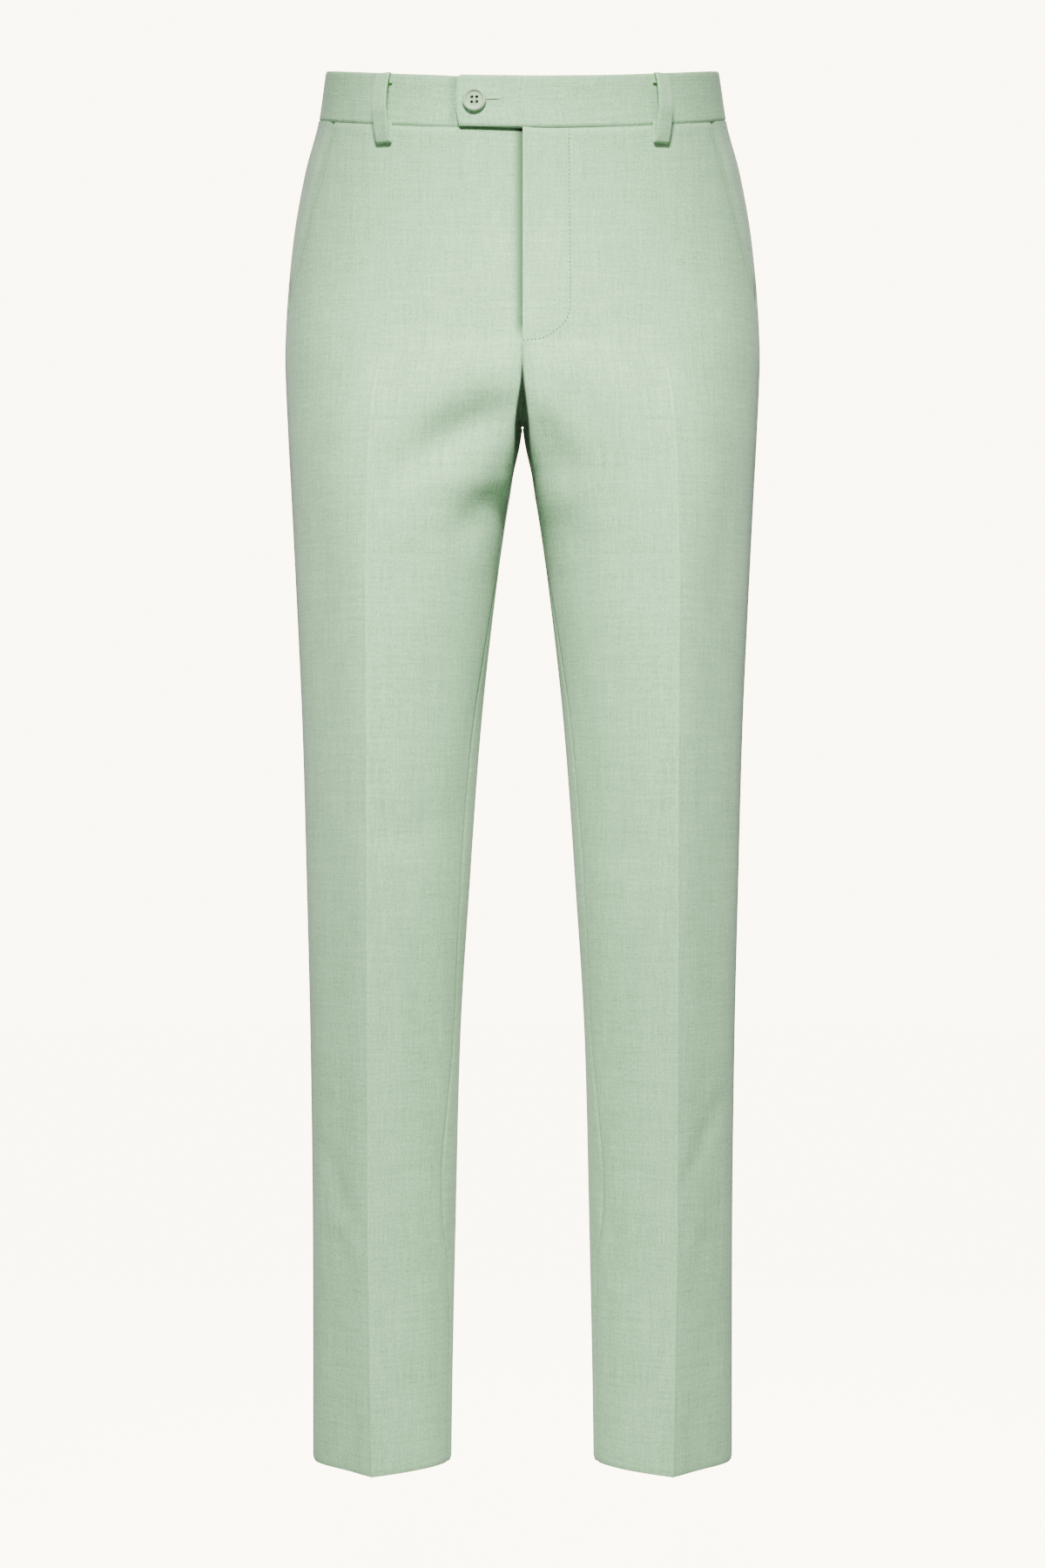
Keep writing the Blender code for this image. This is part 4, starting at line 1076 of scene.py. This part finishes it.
def stitch_mesh(name, placed, length, radius, finish):
    """Little threads that dip into the cloth at both ends. placed: middles, ways, ups."""
    middle = np.concatenate([p[0] for p in placed])
    way = np.concatenate([p[1] for p in placed])
    up = np.concatenate([p[2] for p in placed])
    way = unit(way)
    across = unit(np.cross(way, up))
    up = np.cross(across, way)
    half = ((-0.5, 0.35, -0.6), (-0.34, 0.9, 0.1), (0, 1, 0.35))  # at, wide, rise
    rings = half + tuple((-at, wide, rise) for at, wide, rise in half[1::-1])
    turns = np.arange(6) * math.pi / 3
    points = []
    for at, wide, rise in rings:
        for turn in turns:
            point = middle + way * at * length + up * radius * rise
            point = point + across * radius * wide * math.cos(turn)
            points.append(point + up * radius * wide * math.sin(turn) * 0.8)
    points = np.stack(points, 1)
    faces = tube_faces(len(rings), 6)
    every = []
    for first in range(0, len(middle) * len(rings) * 6, len(rings) * 6):
        every += [tuple(first + v for v in face) for face in faces]
    mesh = mesh_of(name, points.reshape(-1, 3), every)
    dressed(name, mesh, finish)
    work = bmesh.new()
    work.from_mesh(mesh)
    bmesh.ops.recalc_face_normals(work, faces=work.faces)
    work.to_mesh(mesh)
    work.free()


def stitch_rows(name, rows, sewing, radius, finish):
    """Rows of stitches, each from a line of points and its outward directions."""
    pitch, length = sewing
    placed = [along_line(line, out, pitch) for line, out in rows]
    stitch_mesh(name, placed, length, radius, finish)


TREES = {}  # of each piece that on_piece has been asked for


def on_piece(piece, points, outs, rise=0.0):
    """Points laid on a piece's outer face, coming in along the given directions."""
    if piece.name not in TREES:
        corners = [v.co for v in piece.data.vertices]
        TREES[piece.name] = BVHTree.FromPolygons(corners, [p.vertices for p in piece.data.polygons])
    tree = TREES[piece.name]
    found = []
    for point, out in zip(points, outs):
        start = Vector(point * MM) + Vector(out) * 0.006
        hit = tree.ray_cast(start, -Vector(out), 0.012)[0]
        found.append(np.array(hit) / MM if hit is not None else point)
    return np.array(found) + rise * outs


def surface_line(half, piece, places, rise=0.02):
    """A line on a piece's outer face, from (s, level) places."""
    s = np.array([p[0] for p in places])
    level = np.array([p[1] for p in places])
    points, out = cloth(half, s, level)
    return on_piece(piece, points, out, rise), out


def fly_stitching(fronts):
    """The curved row that holds the fly."""
    path, _ = smooth_path([(x, z, 0) for x, z in FLY_ROW], 130)
    places = [(place_of_x(x, level), level) for x, level, _ in path]
    return surface_line(1, fronts[1], places)


def mouth_stitching(half, front):
    levels = np.linspace(BAND_SEAM - 1.5, POCKET_END - 8, 60)
    places = []
    for level in levels:
        mouth = place_of_x(mouth_x(level), level)
        places.append((shift_along(mouth, level, -MOUTH_STITCH), level))
    return surface_line(half, front, places)


def seam_allowance():
    """The centre-front seam's allowance, pressed open behind it, from the fly to the fork."""
    levels = np.linspace(FLY_CLOSED + 8, CROTCH + 0.6, 38)
    places = np.array([0, 0.008, 0.02, 0.035, 0.05])
    s, level = np.meshgrid(places, levels)
    depth = CLOTH + PLY_GAP + 1.6 * smooth_step(level, FLY_CLOSED - 8, FLY_CLOSED)
    half_face, out = cloth(1, s, level, -depth)
    mirror = np.array([-1, 1, 1])
    half_face[:, 0, 0] = out[:, 0, 0] = 0
    face = np.concatenate([(half_face * mirror)[:, :0:-1], half_face], 1)
    out = np.concatenate([(out * mirror)[:, :0:-1], out], 1)
    grain = np.stack(np.broadcast_arrays(face[..., 0] + 1500, levels[:, None]), -1)
    painted_shading = np.zeros(face.shape[:2])
    inner = face - 0.8 * out
    shell("front_seam_allowance", face, inner, grain, painted_shading, SAGE_CLOTH)


def button_place(lift):
    """The button's middle, lifted off the band, and the three ways from it."""
    place = place_of_x(BUTTON_X, BAND_MIDDLE)
    centre, out = cloth(1, np.array([place]), np.array([BAND_MIDDLE]), lift)
    right = unit(np.cross([0, 0, 1.0], out[0]))
    return centre[0], out[0], right, np.cross(out[0], right)


def buttonhole(band):
    """A keyhole buttonhole: a slit, drawn as a sheet of painted shadow, between two rows of close
    stitches, and an end bar.
    """
    centre, out, right, upward = button_place(TAB_OVER)
    placed, slit = [], []
    for side in (-1, 1):
        for k in range(HOLE_STITCHES):
            x = HOLE_FROM + (HOLE_TO - HOLE_FROM) * k / (HOLE_STITCHES - 1)
            point = centre + right * x + upward * side * HOLE_WIDE
            placed.append((point, upward + 0.12 * side * right))
    for k in range(9):
        point = centre + right * (HOLE_TO + 1.3) + upward * (k - 4) * 0.72
        placed.append((point, right))
    for k in range(SLIT_STEPS):
        x = HOLE_FROM - 1 + (HOLE_TO - HOLE_FROM + 0.6) * k / (SLIT_STEPS - 1)
        slit.append(centre + right * x)
    ups = np.broadcast_to(out, (len(placed), 3))
    middle = on_piece(band, np.array([p for p, _ in placed]), ups, 0.1)
    ways = np.array([w for _, w in placed])
    line = on_piece(band, np.array(slit), np.broadcast_to(out, (SLIT_STEPS, 3)), 0.06)
    wide = 0.42 * np.sin(np.linspace(0.25, math.pi - 0.2, SLIT_STEPS))[:, None] * upward
    rows = np.stack([line - wide, line + wide])
    grain, painted_shading = np.zeros((2, SLIT_STEPS, 2)), np.zeros((2, SLIT_STEPS))
    # the slit is a dark sheet on the band: painted shadow
    shell("buttonhole_slit_shadow", rows, rows - 0.12 * out, grain, painted_shading, PAINTED_SHADOW)
    stitch_mesh("buttonhole_stitches", [(middle, ways, ups)], 1.9, 0.24, PALE_THREAD)


def lathe(name, profile, steps):
    """A turned body about z, in mm, as a mesh."""
    points, faces = [(0, 0, profile[0][1])], []
    rings = profile[1:-1]
    for radius, up in rings:
        for k in range(steps):
            turn = 2 * math.pi * k / steps
            points.append((radius * math.cos(turn), radius * math.sin(turn), up))
    points.append((0, 0, profile[-1][1]))
    last = len(points) - 1
    for k in range(steps):
        n = (k + 1) % steps
        faces.append((0, 1 + k, 1 + n))
        for r in range(len(rings) - 1):
            a = 1 + r * steps
            faces.append((a + k, a + steps + k, a + steps + n, a + n))
        a = 1 + (len(rings) - 1) * steps
        faces.append((a + k, last, a + n))
    return mesh_of(name, points, faces)


def fine_button():
    """The four-hole button with its raised rim, the thread in its holes, and a dark disc of painted
    shadow behind it.
    """
    centre, out, right, upward = button_place(TAB_OVER + TAB_LIFT + PLY_GAP + 0.2)
    flat, _ = smooth_path([(r, 0, z) for r, z in BUTTON_PROFILE], 40)
    mesh = lathe("sewn_button", [(max(0.0, p[0]), p[2]) for p in flat], 72)
    made = linked("button_body", mesh)
    cutters = []
    for n in range(4):
        profile = [(0, 6), (WIDER_HOLE, 6), (WIDER_HOLE, -4), (0, -4)]
        cutter = linked(f"hole_{n}", lathe(f"hole_{n}", profile, 28))
        x = BUTTON_HOLE_OFFSET * (1 if n in (0, 1) else -1)
        y = BUTTON_HOLE_OFFSET * (1 if n in (0, 2) else -1)
        cutter.location = (x * MM, y * MM, 0)
        cut = made.modifiers.new(f"hole_{n}", "BOOLEAN")
        cut.object = cutter
        cut.solver = "EXACT"
        cutters.append(cutter)
    bpy.context.view_layer.update()
    graph = bpy.context.evaluated_depsgraph_get()
    carved = bpy.data.meshes.new_from_object(made.evaluated_get(graph))
    for old in [made, *cutters]:
        bpy.data.objects.remove(old, do_unlink=True)
    axes = np.stack([right, upward, out, centre * MM], -1)
    carved.transform(Matrix([*axes.tolist(), (0, 0, 0, 1)]))
    carved.materials.clear()
    carved.shade_smooth()
    carved.set_sharp_from_angle(angle=math.radians(40))
    dressed("sewn_button", carved, RESIN, "button")
    for n, lane in enumerate((-0.25, 0.2)):
        reach = BUTTON_HOLE_OFFSET - 0.45
        x = np.linspace(-1, 1, 15) * reach
        rise = 2.2 - 1.6 * np.abs(x / reach) ** 6
        row = lane - BUTTON_HOLE_OFFSET
        strand = centre + x[:, None] * right + row * upward + rise[:, None] * out
        thread_tube(f"button_thread_{n}", strand, 0.2, THREAD_SAGE)
    # a dark disc behind the button: painted shadow seen through its holes
    shadow_disc = np.array([centre - out * h for h in np.linspace(-0.25, 1.6, 5)])
    thread_tube("button_hole_shadow", shadow_disc, 3.4, PAINTED_SHADOW)


def thread_tube(name, points, radius, finish):
    """A short round tube through points: a thread, or the disc of painted shadow behind the button.
    """
    way = unit(np.gradient(points, axis=0))
    side = unit(np.cross(way, np.array([0.31, 0.2, 0.93])))
    other = np.cross(way, side)
    turns = np.arange(8) * math.pi / 4
    rings = [points + radius * (math.cos(t) * side + math.sin(t) * other) for t in turns]
    mesh = mesh_of(name, np.stack(rings, 1).reshape(-1, 3), tube_faces(len(points), 8))
    dressed(name, mesh, finish)


# ---- the stage -------------------------------------------------------------
def stage():
    mesh = bpy.data.meshes.new("floor")
    turns = np.arange(48) * math.pi / 24
    ring = [(FLOOR_RADIUS * math.cos(t), FLOOR_RADIUS * math.sin(t), FLOOR * MM) for t in turns]
    mesh.from_pydata(ring, [], [tuple(range(48))])
    floor = linked("floor", mesh)
    pale, _, shader = new_material("pale_floor", FLOOR_PALE, 0.9)
    shader.inputs["Emission Color"].default_value = (*BACKGROUND, 1)
    shader.inputs["Emission Strength"].default_value = FLOOR_GLOW
    floor.visible_diffuse = False
    floor.visible_glossy = False
    floor.data.materials.append(pale)
    world = bpy.data.worlds.new("studio")
    bpy.context.scene.world = world
    world.use_nodes = True
    tree = world.node_tree
    sky = tree.nodes["Background"]
    sky.inputs["Color"].default_value = (*BACKGROUND, 1)
    sky.inputs["Strength"].default_value = 1.0
    room = {"Color": (*ROOM_COLOUR, 1), "Strength": ROOM_LIGHT}
    soft = add_node(tree, "Background", room).outputs[0]
    seen = add_node(tree, "LightPath", {}).outputs["Is Camera Ray"]
    mix = add_node(tree, "MixShader", {0: seen, 1: soft, 2: sky.outputs[0]})
    tree.links.new(mix.outputs[0], tree.nodes["World Output"].inputs["Surface"])
    place, aim, power, size = BACK_LIGHT
    light = bpy.data.lights.new("back_soft", "AREA")
    light.size = size
    light.energy = power
    put_light(light, place, aim)
    for name, place, aim, power, half_angle in SPOTS:
        light = bpy.data.lights.new(name, "SPOT")
        light.energy = power
        light.spot_size = 2 * math.radians(half_angle)
        light.spot_blend = 1.0
        light.shadow_soft_size = 0.2
        put_light(light, place, aim)


def put_light(light, place, aim):
    light.color = LAMP_COLOUR
    made = linked(light.name, light)
    made.location = place
    way = Vector(aim) - Vector(place)
    made.rotation_euler = way.to_track_quat("-Z", "Y").to_euler()


SAGE_CLOTH = cloth_material("sage_weave")
BAND_SAGE = cloth_material("sage_weave_crosswise", BAND_LIGHTER_SHARE, True)
FACING_CLOTH = cloth_material("sage_weave_facing", FACING_SHARE)
THREAD_SAGE = thread_material("sage_thread", THREAD_COLOUR)
PALE_THREAD = thread_material("pale_thread", THREAD_PALE)
RESIN = resin_material("sage_resin")
# the dark material of painted shadow
PAINTED_SHADOW = new_material("slit_shadow", HOLE_SHADOW_COLOUR, 0.95)[0]
FLY_THREAD = thread_material("fly_thread", FLY_THREAD_AND_SHADE_COLOUR)
SEAM_THREAD = thread_material("seam_thread", SEAM_THREAD_COLOUR)


def make_camera():
    lens = bpy.data.cameras.new("camera")
    lens.lens = CAMERA_LENS
    lens.sensor_width = 36
    lens.sensor_fit = "AUTO"
    camera = linked("camera", lens)
    camera.location = CAMERA_PLACE
    camera.rotation_euler = (math.pi / 2, 0, 0)
    bpy.context.scene.camera = camera


def main():
    make_camera()
    stage()
    fronts, bands, sewn = {}, {}, []
    for half, side in ((1, "left"), (-1, "right")):
        fronts[half] = fine_front(half, side)
        backs = fine_back(half, side)
        facing = fine_facing(half, side)
        bands[half] = fine_band(half, side)
        loops = [(f"belt_loop_front_{side}", place_of_x(LOOP_X, 0))]
        loops.append((f"belt_loop_side_{side}", SIDE_LOOP))
        if half > 0:
            loops.append(("belt_loop_back", BACK_LOOP))
        for name, place in loops:
            strip, rows = fine_loop(half, name, place)
            sewn += rows
        row = mouth_stitching(half, fronts[half])
        name = f"pocket_stitches_{side}"
        stitch_rows(name, [row], MOUTH_SEWING, THREAD, SEAM_THREAD)
    stitch_rows("loop_stitches", sewn, LOOP_SEWING, THREAD * 0.9, SEAM_THREAD)
    row = fly_stitching(fronts)
    stitch_rows("fly_stitches", [row], FLY_SEWING, 1.3 * THREAD, FLY_THREAD)
    buttonhole(bands[1])
    fine_button()
    seam_allowance()
    for name, finish in (("fly_zip", FACING_CLOTH), ("fly_shield", SAGE_CLOTH)):
        node = bpy.data.objects[name]
        for slot in node.material_slots:
            slot.material = finish


main()
